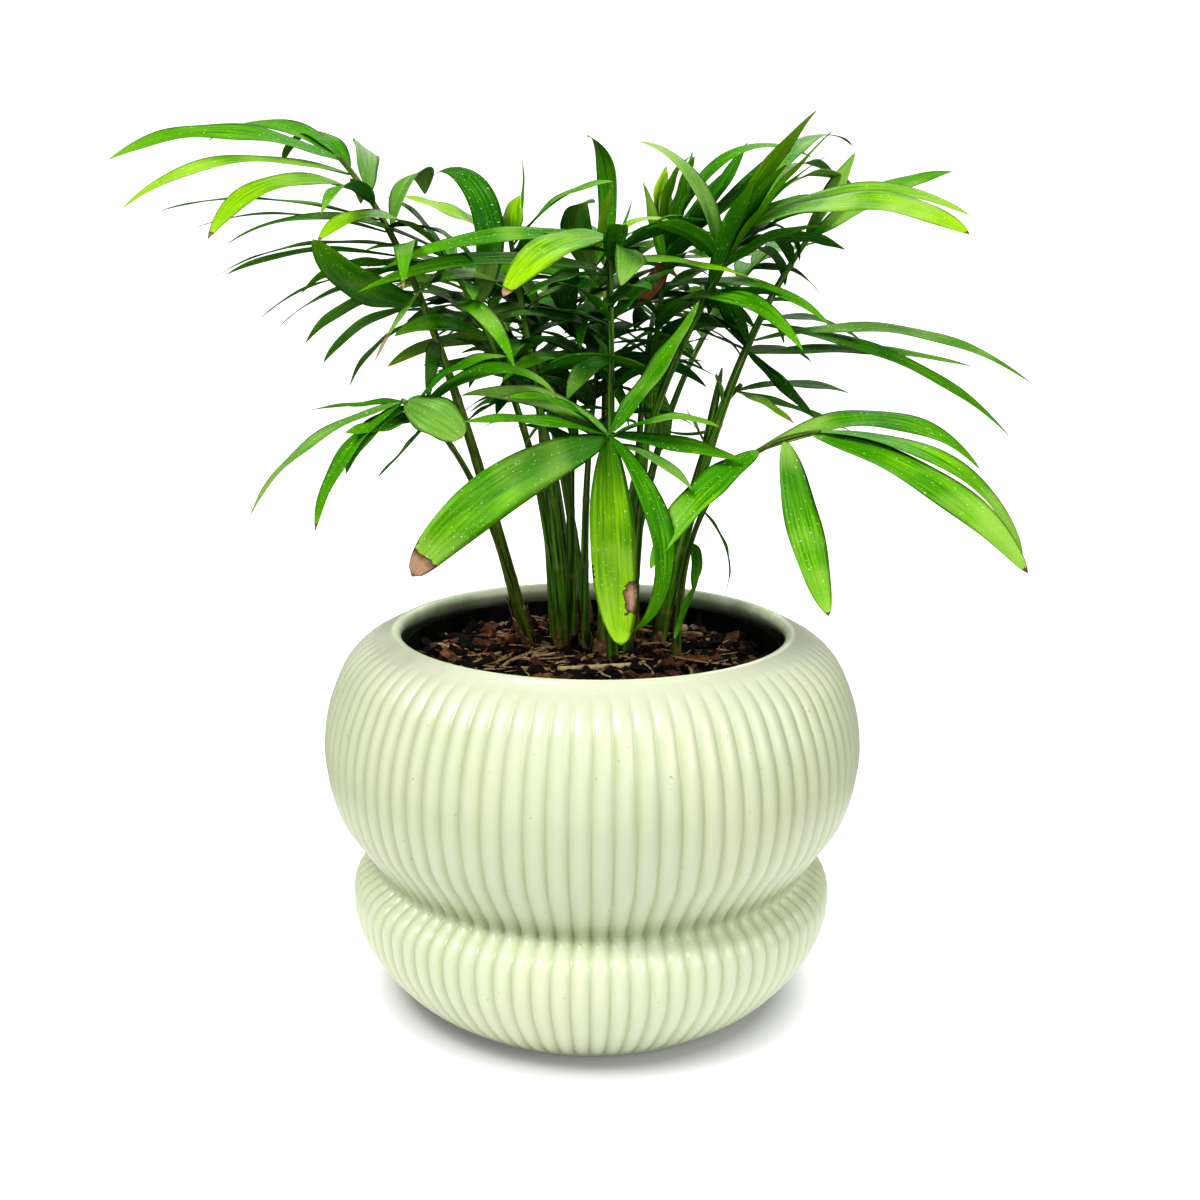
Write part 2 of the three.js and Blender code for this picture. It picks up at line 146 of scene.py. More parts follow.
# %% Recipes for materials
class Recipe:
    """A material in the making. Its place is the piece's own Object coordinates, and its
    colour is the base colour so far."""

    def __init__(self, name, colour, **sockets):
        self.material = bpy.data.materials.new(name)
        self.material.use_nodes = True
        self.tree = self.material.node_tree
        self.shader = self.tree.nodes["Principled BSDF"]
        self.place = self.node("TexCoord").outputs["Object"]
        self.colour = colour
        for key, value in sockets.items():
            self.shader.inputs[key.replace("_", " ")].default_value = value

    def put(self, value, socket):
        """Links another node's output to the socket, or sets a plain value on it."""
        if isinstance(value, bpy.types.NodeSocket):
            self.tree.links.new(value, socket)
        else:
            socket.default_value = value

    def node(self, kind, **values):
        """A node; values named like its inputs go there, and the others are its settings."""
        made = self.tree.nodes.new("ShaderNode" + kind)
        for key, value in values.items():
            socket = made.inputs.get(key.replace("_", " "))
            if socket is None:
                setattr(made, key, value)
            else:
                self.put(value, socket)
        return made

    def value(self, name):
        """A number that give_value has put on the piece's points."""
        return self.node("Attribute", attribute_name=name).outputs["Fac"]

    def uv(self):
        """The map that give_uv has put on the piece."""
        return self.node("UVMap", uv_map="surface").outputs["UV"]

    def scaled(self, vector, *scale):
        """The coordinates times three numbers, to draw a pattern out along one of them."""
        return self.node("Mapping", Vector=vector, Scale=scale).outputs["Vector"]

    def part(self, vector, axis):
        """One of the three coordinates."""
        return self.node("SeparateXYZ", Vector=vector).outputs[axis]

    def noise(self, scale, detail=3.0, roughness=0.5, vector=None):
        """A cloudy pattern; detail and roughness say how much fine noise lies on it."""
        vector = self.place if vector is None else vector
        made = self.node("TexNoise", Vector=vector, Scale=scale, Detail=detail, Roughness=roughness)
        return made.outputs["Fac"]

    def between(self, value, low, high, to_low=0.0, to_high=1.0):
        """value carried from the span low-high to another span, and held at its ends."""
        made = self.node("MapRange", Value=value, From_Min=low, From_Max=high, To_Min=to_low, To_Max=to_high)
        return made.outputs["Result"]

    def patches(self, scale, detail, low, high, to_low=0.0, to_high=1.0, roughness=0.5, vector=None):
        """Patches with soft edges: a noise, carried from the span low-high to another one."""
        return self.between(self.noise(scale, detail, roughness, vector), low, high, to_low, to_high)

    def math(self, how, first, second):
        """The sum or product of two numbers or sockets; how is ADD or MULTIPLY."""
        made = self.node("Math", operation=how)
        for socket, value in zip(made.inputs, (first, second)):
            self.put(value, socket)
        return made.outputs[0]

    def mix(self, share, first, second):
        """first where share is 0, second where it is 1; each a colour or a socket."""
        made = self.node("Mix", data_type="RGBA", Factor=share)
        for socket, value in ((made.inputs[6], first), (made.inputs[7], second)):
            self.put(value if isinstance(value, bpy.types.NodeSocket) else (*value, 1.0), socket)
        return made.outputs[2]

    def paint(self, share, colour):
        """Another colour over the base colour, as far as share says."""
        self.colour = self.mix(share, self.colour, colour)

    def finished(self, height, distance, strength):
        """The material, with its colour and a bump; distance is the bump's in metres."""
        bump = self.node("Bump", Height=height, Distance=distance, Strength=strength)
        self.put(bump.outputs["Normal"], self.shader.inputs["Normal"])
        self.put(self.colour, self.shader.inputs["Base Color"])
        return self.material


# %% [markdown]
# The pot is thrown ceramic: a wide upper bulge, a tight waist and a lower bulge, with 84
# convex ribs between narrow grooves. It could be a lathe shape with a cutter repeated
# round it. Here it is one surface instead: the radius at each height, less a groove that
# depends on the angle alone. The groove is narrow because the rib is a half sine raised
# to a small power, and its depth fades out just under the lip, where each rib is rounded.

# %% The pot's profile
POT_OUTSIDE = np.array([
    (0, 70.8), (2, 73.6), (9.3, 82.7), (20.1, 91.7), (32.5, 98.1), (44.9, 99.9), (51.5, 97.4),
    (54.9, 92.4), (57.5, 90.4), (61, 91.6), (69.6, 97.2), (80.4, 104.3), (92.8, 108.3), (108.3, 110),
    (123.7, 107.9), (136.1, 103.3), (143, 99.2), (148, 94.1), (150.8, 89.3),
])  # height, radius on the ribs
POT_INSIDE = np.array([
    (148, 80.6), (140, 91), (124, 99), (93, 99.5), (70, 88.5), (56, 83), (45, 91.4),
    (20, 83), (7, 66),
])
FOOT_HOLLOW = 30  # radius of the flat underside's first ring
OUTSIDE_ROWS, LIP_ROWS, INSIDE_ROWS = 74, 10, 22
LIP_RADIUS, LIP_HEIGHT, LIP_ROLL = 80.9, 152.0, 2.7
LIP_TURN = (20, 200)  # the rolled lip starts outside and ends inside, in degrees


def smooth_curve(points, count):
    """count points on a curve through the given ones: each span is a cubic whose ends run
    along the line from the neighbour before to the neighbour after."""
    tangent = np.gradient(points, axis=0)
    at = np.linspace(0, len(points) - 1, count)
    i = np.minimum(at.astype(int), len(points) - 2)
    t = (at - i)[:, None]
    a, b, ta, tb = points[i], points[i + 1], tangent[i], tangent[i + 1]
    return ((2 * t**3 - 3 * t**2 + 1) * a + (t**3 - 2 * t**2 + t) * ta
            + (3 * t**2 - 2 * t**3) * b + (t**3 - t**2) * tb)


turn = np.radians(np.linspace(*LIP_TURN, LIP_ROWS))
lip = np.stack([LIP_HEIGHT + LIP_ROLL * np.sin(turn), LIP_RADIUS + LIP_ROLL * np.cos(turn)], -1)
pot_profile = np.vstack([[(0, FOOT_HOLLOW)], smooth_curve(POT_OUTSIDE, OUTSIDE_ROWS), lip,
                         smooth_curve(POT_INSIDE, INSIDE_ROWS)])
print("pot profile:", len(pot_profile), "rows")

# %% The pot's surface
POT_RIBS, GROOVE_DEPTH = 84, 1.5
RIB_POINTS, RIB_POWER = 10, 0.7  # points across one rib, and the power that makes it full
WAIST, WAIST_DEPTH, WAIST_SPREAD = 58.5, 0.9, 7  # height, how much deeper, how far up and down
GROOVE_TOP = (148.4, 152.0)  # heights where the ribs start to fade, and are gone
GROOVE_FOOT = (0.5, 5.0)
WAIST_SHADE_HEIGHT, WAIST_SHADE_SPREAD, WAIST_SHADE_SHARE = 61, 6.0, 0.8  # where a painted shade darkens the glaze over the waist
WAIST_SHADE_FOOT = (54.5, 57.5)  # heights over which the painted shade begins
WAIST_WALL = 86  # a radius inside the wall at the waist
INNER_FROM = 4  # rows of the lip that still have the outer glaze


def ease(value, low, high):
    """0 below low, 1 above high, and an S-shaped change between them."""
    t = np.clip((value - low) / (high - low), 0, 1)
    return t * t * (3 - 2 * t)


def ribbed_surface(profile, ribs, per_rib):
    """Points at radius R(z) - depth(z) * (1 - rib), rib = |sin(pi * across)|^0.7 round it.
    The depth is greater near the waist, and fades out at the foot and under the lip."""
    angle = np.arange(ribs * per_rib) * 2 * np.pi / (ribs * per_rib)
    rib = np.abs(np.sin(ribs * angle / 2)) ** RIB_POWER
    z, radius = profile[:, :1], profile[:, 1:]
    outer_rows = np.arange(len(profile))[:, None] < OUTSIDE_ROWS + 1
    fade = ease(z, *GROOVE_FOOT) * (1 - ease(z, *GROOVE_TOP)) * outer_rows
    groove = fade * (1 - rib[None])
    deeper = 1 + WAIST_DEPTH * np.exp(-((z - WAIST) / WAIST_SPREAD) ** 2)
    r = radius - GROOVE_DEPTH * deeper * groove
    points = np.stack([r * np.cos(angle), r * np.sin(angle), z + 0 * r], -1)
    return points.reshape(-1, 3), groove.ravel()


pot_points, pot_groove = ribbed_surface(pot_profile, POT_RIBS, RIB_POINTS)
rows, cols = len(pot_profile), POT_RIBS * RIB_POINTS
poles = np.array([(0, 0, 0), (0, 0, POT_INSIDE[-1, 0])], float)
pot = new_piece("ribbed_pot", np.vstack([pot_points, poles]), tube_faces(rows, cols), ["pot"])
height = pot_points[:, 2]
# painted shade: a darker band just above the waist, under the overhang of the upper bulge
shade_band = WAIST_SHADE_SHARE * np.exp(-((height - WAIST_SHADE_HEIGHT) / WAIST_SHADE_SPREAD) ** 2) * ease(height, *WAIST_SHADE_FOOT)
waist_shade = shade_band * (np.hypot(*pot_points[:, :2].T) > WAIST_WALL)
inner = np.repeat(np.arange(rows) >= OUTSIDE_ROWS + INNER_FROM, cols)
give_value(pot, "groove", np.append(pot_groove, (0, 0)))
give_value(pot, "waist_shade", np.append(waist_shade, (0, 0)))
give_value(pot, "inner", np.append(inner, (0, 1)))
print("pot triangles:", 2 * rows * cols)

# %% [markdown]
# The glaze is a satin pale green. Real glaze runs thin over a rib and pools in a groove, so
# it is greener and darker there. A darker green band just over the waist, under the upper
# bulge, is painted shade. Two point values carry these, one for the grooves and one for the
# painted shade. Slow noises cloud the colour between cream and cool green, one leaves a faint
# ochre stain, and fine dark specks come from a sharp threshold on a finer noise. The lip is
# a little darker, and the inner wall is greener and marbled.

# %% Celadon glaze
GLAZE_CREST = (0.605, 0.63, 0.445)
GLAZE_GROOVE = (0.44, 0.50, 0.30)
GLAZE_COOL = (0.51, 0.60, 0.43)
GLAZE_STAIN = (0.54, 0.47, 0.26)
# colour of the painted shade over the waist
GLAZE_WAIST_SHADE = (0.35, 0.43, 0.25)
GLAZE_INNER = (0.60, 0.73, 0.49)
GLAZE_MARBLE = (0.85, 0.88, 0.66)
GLAZE_LIP = (0.58, 0.61, 0.46)
GLAZE_SPECK = (0.30, 0.26, 0.16)
LIP_GLAZE = (0.138, 0.152)  # metres up, over which the lip's colour comes in


def celadon():
    """The glaze of the pot, from its widest clouds to its finest specks."""
    glaze = Recipe("celadon_glaze", GLAZE_CREST, Roughness=0.36, IOR=1.5, Coat_Weight=0.15,
                   Coat_Roughness=0.25)
    glaze.paint(glaze.patches(16.0, 4.0, 0.38, 0.68, 0.0, 0.8), GLAZE_COOL)
    glaze.paint(glaze.patches(9.0, 5.0, 0.6, 0.8, 0.0, 0.35, 0.6), GLAZE_STAIN)
    uneven = glaze.patches(40.0, 3.0, 0.3, 0.7, 0.6, 1.15)
    ran = glaze.math("MULTIPLY", glaze.value("groove"), uneven)
    glaze.paint(glaze.between(ran, 0.0, 0.9), GLAZE_GROOVE)
    # painted shade over the waist, where the upper bulge overhangs
    glaze.paint(glaze.value("waist_shade"), GLAZE_WAIST_SHADE)
    glaze.paint(glaze.between(glaze.part(glaze.place, "Z"), *LIP_GLAZE), GLAZE_LIP)
    drawn = glaze.scaled(glaze.place, 1.0, 1.0, 0.35)
    marble = glaze.patches(42.0, 5.0, 0.42, 0.62, roughness=0.65, vector=drawn)
    glaze.paint(glaze.value("inner"), glaze.mix(marble, GLAZE_INNER, GLAZE_MARBLE))
    glaze.paint(glaze.patches(700.0, 0.0, 0.84, 0.87, 0.0, 0.6), GLAZE_SPECK)
    return glaze.finished(glaze.noise(90.0, 2.0), 0.0002, 0.3)


pot.data.materials.append(celadon())
print("glaze:", pot.data.materials[0].name)

# %% [markdown]
# The palm still grows in its nursery pot, a thin black plastic cup whose rim shows inside
# the ceramic lip. Its wall is one closed profile: up the outside, over a small rounded
# rim, and down the inside.

# %% The black liner
LINER_LOW, LINER_FOOT, LINER_TOP, LINER_RIM, LINER_WALL = 7.3, 60.0, 147.5, 77.6, 1.4
LINER_BEND = (60, 66.8)  # height and radius where the lower wall meets the upper one
ROUND = 160  # points round the liner


def turned(profile, cols):
    """Points of a smooth round shape: each row of the profile carried once round the axis."""
    angle = np.arange(cols) * 2 * np.pi / cols
    z, r = profile[:, :1], profile[:, 1:]
    return np.stack([r * np.cos(angle), r * np.sin(angle), z + 0 * angle], -1).reshape(-1, 3)


half_wall = LINER_WALL / 2
rim_turn = np.radians(np.linspace(0, 180, 7))
rim = np.stack([LINER_TOP - half_wall + half_wall * np.sin(rim_turn),
                LINER_RIM - half_wall + half_wall * np.cos(rim_turn)], -1)
inner_bend = (LINER_BEND[0], LINER_BEND[1] - LINER_WALL)
liner_profile = np.vstack([(LINER_LOW, LINER_FOOT), LINER_BEND, rim, inner_bend,
                           (LINER_LOW + LINER_WALL, LINER_FOOT - LINER_WALL)])
ends = np.array([(0, 0, LINER_LOW), (0, 0, LINER_LOW + LINER_WALL)])
plastic = Recipe("black_plastic", (0.003, 0.003, 0.003), Roughness=0.6, Specular_IOR_Level=0.05)
plastic.paint(plastic.patches(60.0, 4.0, 0.45, 0.7), (0.012, 0.010, 0.008))
new_piece("nursery_pot", np.vstack([turned(liner_profile, ROUND), ends]),
          tube_faces(len(liner_profile), ROUND), ["liner"],
          plastic.finished(plastic.noise(300.0), 0.0002, 0.4))
print("liner rows:", len(liner_profile))

# %% [markdown]
# The bark mix is a rough bed with loose chips, fibres and a few pebbles on it. One way
# would be a particle system, but particles don't leave Blender. So the bed is a round
# height field, and each kind of litter is one joined mesh: a small shape that is copied,
# turned and dropped on the bed with array arithmetic.

# %% The bed of bark mix
SOIL_TOP, SOIL_LOW, SOIL_RADIUS = 136.0, 9.0, 74.6
LOOSE_MIX = 4.6  # how far the loose top of the mix stands over the firm soil
EDGE_DROP = 2.2  # how much lower it lies at the wall
LUMPS = ((1.1, 31, 1), (0.6, 9, 2))  # height, size and seed of the slow and the quick lumps
BED_RINGS, BED_COLS, BED_FOOT = 44, 150, 0.78  # the foot's radius is this share of the top's
dice = np.random.default_rng(41)


def swell(x, y, size, seed):
    """A smooth random height between about -1 and 1: eight crossing waves of one size."""
    picks = np.random.default_rng(seed)
    way = picks.uniform(0, 2 * np.pi, 8)
    shift = picks.uniform(0, 2 * np.pi, 8)
    wave = x[..., None] * np.cos(way) + y[..., None] * np.sin(way)
    return np.sin(wave * 2 * np.pi / size + shift).sum(-1) / 4


def bed_height(x, y):
    """The loose mix on the firm soil, less a drop that grows as (r / radius)^5, with lumps."""
    height = SOIL_TOP + LOOSE_MIX - EDGE_DROP * (np.hypot(x, y) / SOIL_RADIUS) ** 5
    for tall, size, seed in LUMPS:
        height = height + tall * swell(x, y, size, seed)
    return height


def bark(name, dark, light, scale):
    """A matt brown with a finer lighter grain and a rough bump."""
    brown = Recipe(name, dark, Roughness=0.85, Specular_IOR_Level=0.2)
    brown.paint(brown.patches(scale, 5.0, 0.35, 0.68, roughness=0.7), light)
    return brown.finished(brown.noise(scale * 2, 4.0, 0.7), 0.0006, 0.8)


ring = np.linspace(SOIL_RADIUS, 1.5, BED_RINGS)[:, None]
angle = np.arange(BED_COLS)[None] * 2 * np.pi / BED_COLS
x, y = ring * np.cos(angle), ring * np.sin(angle)
top = np.stack([x, y, bed_height(x, y)], -1)
foot = np.stack([x[0] * BED_FOOT, y[0] * BED_FOOT, np.full(BED_COLS, SOIL_LOW)], -1)
middle = np.array([(0, 0, SOIL_LOW), (0, 0, bed_height(np.zeros(1), np.zeros(1))[0])])
damp = bark("damp_bark", (0.003, 0.002, 0.0015), (0.016, 0.009, 0.005), 260.0)
new_piece("bark_bed", np.vstack([foot, top.reshape(-1, 3), middle]), tube_faces(BED_RINGS + 1, BED_COLS),
          ["soil"], damp)
print("bed height:", round(float(top[..., 2].min()), 1), "to", round(float(top[..., 2].max()), 1))

# %% Loose chips of bark
CHIP_SIDES = 6
CHIPS = {  # name: how many, shortest and longest in mm, dark and light brown
    "chips_black": (800, (3, 13), (0.0025, 0.0015, 0.001), (0.013, 0.007, 0.004)),
    "chips_brown": (250, (3, 14), (0.025, 0.010, 0.005), (0.17, 0.08, 0.037)),
    "chips_rust": (90, (4, 13), (0.07, 0.026, 0.011), (0.30, 0.13, 0.055)),
    "chips_tan": (130, (2, 8), (0.22, 0.13, 0.07), (0.60, 0.45, 0.29)),
}
CHIP_TILT = 0.45  # how far a chip leans, in radians, for one in three of them or more
CHIP_PILE = 3.0  # the highest chips lie this far over the bed


def turned_about(yaw, tilt, lean):
    """Turning matrices: tilt about X, lean about Y, then yaw about Z, as whole arrays."""
    cy, sy, ct, st = np.cos(yaw), np.sin(yaw), np.cos(tilt), np.sin(tilt)
    cl, sl = np.cos(lean), np.sin(lean)
    rows = [
        [cy * cl, cy * sl * st - sy * ct, cy * sl * ct + sy * st],
        [sy * cl, sy * sl * st + cy * ct, sy * sl * ct - cy * st],
        [-sl, cl * st, cl * ct],
    ]
    return np.moveaxis(np.array(rows), -1, 0)


def drop_place(count, margin):
    """Places spread evenly over the bed, up to a margin from its edge."""
    r = (SOIL_RADIUS - margin) * np.sqrt(dice.uniform(0, 1, count))
    a = dice.uniform(0, 2 * np.pi, count)
    return r * np.cos(a), r * np.sin(a)


def chips(name, count, length, material):
    """Six-sided slabs with jittered corners, thin and longer than wide, on the bed."""
    a = np.arange(CHIP_SIDES) * 2 * np.pi / CHIP_SIDES
    flat = np.stack([np.cos(a), np.sin(a)], -1)
    one = np.vstack([np.column_stack([flat, np.full(CHIP_SIDES, -1)]),
                     np.column_stack([flat * 0.8, np.full(CHIP_SIDES, 1)])])
    shape = one[None] * dice.uniform(0.65, 1.2, (count, 2 * CHIP_SIDES, 1))
    long = dice.uniform(*length, count)
    half = np.stack([long / 2, long * dice.uniform(0.12, 0.38, count),
                     long * dice.uniform(0.06, 0.14, count)], -1)
    turn = turned_about(dice.uniform(0, 2 * np.pi, count), dice.normal(0, CHIP_TILT, count),
                        dice.normal(0, CHIP_TILT, count))
    x, y = drop_place(count, 4)
    place = np.stack([x, y, bed_height(x, y) + dice.uniform(0, CHIP_PILE, count)], -1)[:, None]
    points = np.einsum("nij,nkj->nki", turn, shape * half[:, None]) + place
    both = np.concatenate([points, points[:, :CHIP_SIDES].mean(1, keepdims=True),
                           points[:, CHIP_SIDES:].mean(1, keepdims=True)], 1)
    new_piece(name, both.reshape(-1, 3), tube_faces(2, CHIP_SIDES, count),
              material=material, smooth=False)


for name, (count, length, dark, light) in CHIPS.items():
    chips(name, count, length, bark(name[6:] + "_bark", dark, light, 320.0))
print("chips of bark:", sum(how[0] for how in CHIPS.values()))

# %% Pebbles
PEBBLES, PEBBLE_SIZE = 26, (1.5, 3.0)
PEBBLE_ROWS, PEBBLE_COLS = 8, 14


def pebbles(name, count, size, material):
    """Lumpy balls half sunk in the bed: r = size * (1 + 0.12 * a slow wave over the ball)."""
    polar = np.linspace(0.25, np.pi - 0.25, PEBBLE_ROWS)[:, None]
    round_it = np.arange(PEBBLE_COLS)[None] * 2 * np.pi / PEBBLE_COLS
    ball = np.stack([np.sin(polar) * np.cos(round_it), np.sin(polar) * np.sin(round_it),
                     -np.cos(polar) + 0 * round_it], -1).reshape(-1, 3)
    ball = np.vstack([ball, (0, 0, -1), (0, 0, 1)])
    shift = dice.uniform(0, 6, (count, 1))
    lumps = 1 + 0.12 * np.sin(3 * ball[:, 0] + shift) * np.cos(4 * ball[:, 1] - shift)
    half = dice.uniform(*size, (count, 1, 1)) * dice.uniform(0.7, 1.1, (count, 1, 3))
    x, y = drop_place(count, 9)
    centre = np.stack([x, y, bed_height(x, y) + 0.9], -1)[:, None]
    points = ball * lumps[..., None] * half + centre
    new_piece(name, points.reshape(-1, 3), tube_faces(PEBBLE_ROWS, PEBBLE_COLS, count),
              material=material)


pebbles("pebbles", PEBBLES, PEBBLE_SIZE, bark("grey_pebble", (0.10, 0.085, 0.065), (0.36, 0.32, 0.26), 240.0))
print("pebbles:", PEBBLES)

# %% [markdown]
# A tube along a path is needed for the fibres, the canes and their sheaths. At each point
# of the path two directions lie across it, and a ring of points stands on them. For the
# fibres the level side and the up side are good enough, because they lie flat.

# %% Fibres and twigs in the mix
FIBRES = {  # name: how many, shortest and longest, thinnest and thickest radius
    "fibres": (130, (9, 26), (0.2, 0.42)),
    "sticks": (14, (22, 36), (0.6, 0.95)),
}
STICK_ENDS, STICK_RADIUS = np.array([(-14, -27), (17, -20)], float), 1.1
UPWARDS = (0.0, 0.0, 1.0)


def tubes(centre, radius, side, up, cols):
    """Rings round each point of many paths: centre + r * (cos a * side - sin a * up)."""
    a = np.arange(cols) * 2 * np.pi / cols
    ring = (np.cos(a)[:, None] * side[..., None, :] - np.sin(a)[:, None] * up[..., None, :])
    return centre[..., None, :] + radius[..., None, None] * ring


def tube_piece(name, centre, radius, side, up, cols, slot, replaces=(), material=None):
    """Many closed tubes as one piece; paths are (count, rows, 3). Points come as rings,
    then the two end points of each tube."""
    count, rows = centre.shape[:2]
    rings = tubes(centre, radius, side, up, cols).reshape(count, -1, 3)
    points = np.concatenate([rings, centre[:, :1], centre[:, -1:]], 1).reshape(-1, 3)
    return new_piece(name, points, tube_faces(rows, cols, count), replaces, material)


def fibres(name, count, length, thick, material):
    """Bent sticks that lie on the bed: a straight run with a slow sideways curve."""
    t = np.linspace(-0.5, 0.5, 9)
    yaw = dice.uniform(0, 2 * np.pi, count)[:, None]
    long = dice.uniform(*length, count)[:, None]
    bow = dice.normal(0, 0.12, count)[:, None] * long
    x0, y0 = drop_place(count, 16)
    along, off = t * long, bow * (1 - 4 * t**2)
    x = x0[:, None] + along * np.cos(yaw) - off * np.sin(yaw)
    y = y0[:, None] + along * np.sin(yaw) + off * np.cos(yaw)
    tip = dice.normal(0, 0.08, count)[:, None] * along
    z = bed_height(x0, y0)[:, None] + 2.6 + tip + 0 * x
    centre = np.stack([x, y, z], -1)
    radius = dice.uniform(*thick, count)[:, None] * (1.15 - 0.9 * np.abs(t) ** 2) + 0 * x
    side = np.stack([-np.sin(yaw), np.cos(yaw), 0 * yaw], -1) + 0 * centre
    up = np.broadcast_to(UPWARDS, centre.shape)
    tube_piece(name, centre, radius, -side, up, 6, "bark_mix", material=material)


straw = bark("straw", (0.28, 0.16, 0.07), (0.62, 0.45, 0.24), 500.0)
for name, how in FIBRES.items():
    fibres(name, *how, straw)
stick = STICK_ENDS[0] + np.linspace(0, 1, 9)[:, None] * (STICK_ENDS[1] - STICK_ENDS[0])
stick = np.column_stack([stick, bed_height(*stick.T).mean() + 3.0 + np.zeros(9)])[None]
tube_piece("long_stick", stick, np.full((1, 9), STICK_RADIUS), np.broadcast_to((0.0, -1.0, 0.0), stick.shape),
           np.broadcast_to(UPWARDS, stick.shape), 8, "bark_mix",
           material=bark("pale_straw", (0.42, 0.30, 0.13), (0.78, 0.64, 0.36), 500.0))
print("fibres and sticks:", sum(how[0] for how in FIBRES.values()) + 1)

# %% [markdown]
# The plant itself. A cane is an arc that starts steep and leans over: its rise falls off
# along its length. A leaflet is an arc too. Both follow these few sizes. The canes have the
# same ones as the solids, and the fronds nearly the same, so the dressed plant stays close
# to the space that the solids hold.

# %% Sizes of the canes and fronds
# foot x, foot y, bearing, rise, droop, length, sweep, late, bare share, foot radius
STEMS = {
    "left_high": (-27, 27, 320, 71, 24, 220, -25, 5, 0.62, 3.6),
    "left_inner": (-15, 20, 335, 86, 29, 180, -45, 1, 0.76, 2.6),
    "left_low": (-25, 14, 340, 60, 37, 150, -15, 3.5, 0.86, 2.2),
    "left_back": (-16, 31, 235, 85, 13, 150, -10, 5, 0.69, 2.8),
    "top_left": (-13, 12, 0, 83, 4, 175, -120, 1, 0.79, 3.2),
    "top_middle": (-9, 27, 175, 97, 27, 165, -40, 1.5, 0.63, 2.9),
    "centre_back": (-3, 13, 125, 92, 19, 135, 25, 2, 0.78, 2.4),
    "centre_high": (3, 2, 40, 85, 2, 175, -65, 4.5, 0.78, 2.9),
    "centre_front": (8, -14, 355, 78, 15, 110, 0, 1, 0.95, 2.8),
    "top_right": (15, 22, 75, 86, 6, 170, -10, 5, 0.62, 2.9),
    "right_high": (15, 4, 135, 99, 48, 190, -95, 1, 0.86, 3.1),
    "right_far": (26, 17, 55, 77, 24, 185, 50, 3, 0.69, 3.9),
    "right_spur": (27, 48, 50, 75, 36, 125, -5, 5, 0.93, 1.9),
    "right_low": (34, -4, 355, 76, 68, 140, 70, 2, 0.42, 2.4),
    "back_left": (-9, 38, 225, 84, 60, 190, 0, 2, 0.6, 2.8),
    "back_mid_left": (-2, 47, 205, 70, 62, 220, 0, 2, 0.59, 2.8),
    "back_middle": (4, 31, 180, 89, 46, 180, 0, 2, 0.65, 2.8),
    "back_mid_right": (18, 46, 170, 92, 92, 190, 0, 2, 0.59, 2.8),
    "back_right": (11, 35, 125, 80, 45, 190, 0, 2, 0.65, 2.8),
}
# pairs, reach of the longest, station of the last pair, lift, tone of its leaflets
FRONDS = {
    "left_high": (7, 100, 0.9, -5, "mid"), "left_inner": (3, 42, 0.95, 20, "deep"),
    "left_low": (2, 45, 0.97, -20, "mid"), "left_back": (3, 60, 0.97, 14, "deep"),
    "top_left": (2, 50, 0.95, 14, "mid"), "top_middle": (2, 55, 0.9, 14, "deep"),
    "centre_back": (3, 38, 0.97, 14, "deep"), "centre_high": (2, 45, 0.94, 14, "mid"),
    "centre_front": (1, 50, 0.98, 14, "mid"), "top_right": (5, 38, 0.97, 14, "mid"),
    "right_high": (2, 60, 0.94, 14, "mid"), "right_far": (2, 50, 0.8, -20, "deep"),
    "right_spur": (0, 0, 0, 14, "mid"), "right_low": (0, 0, 0, 14, "mid"),
    "back_left": (7, 56, 1, 14, "mid"), "back_mid_left": (7, 63, 1, 14, "lime"),
    "back_middle": (7, 56, 1, 14, "mid"), "back_mid_right": (7, 55, 1, 14, "lime"),
    "back_right": (7, 48, 1, 14, "mid"),
}
print("canes:", len(STEMS))
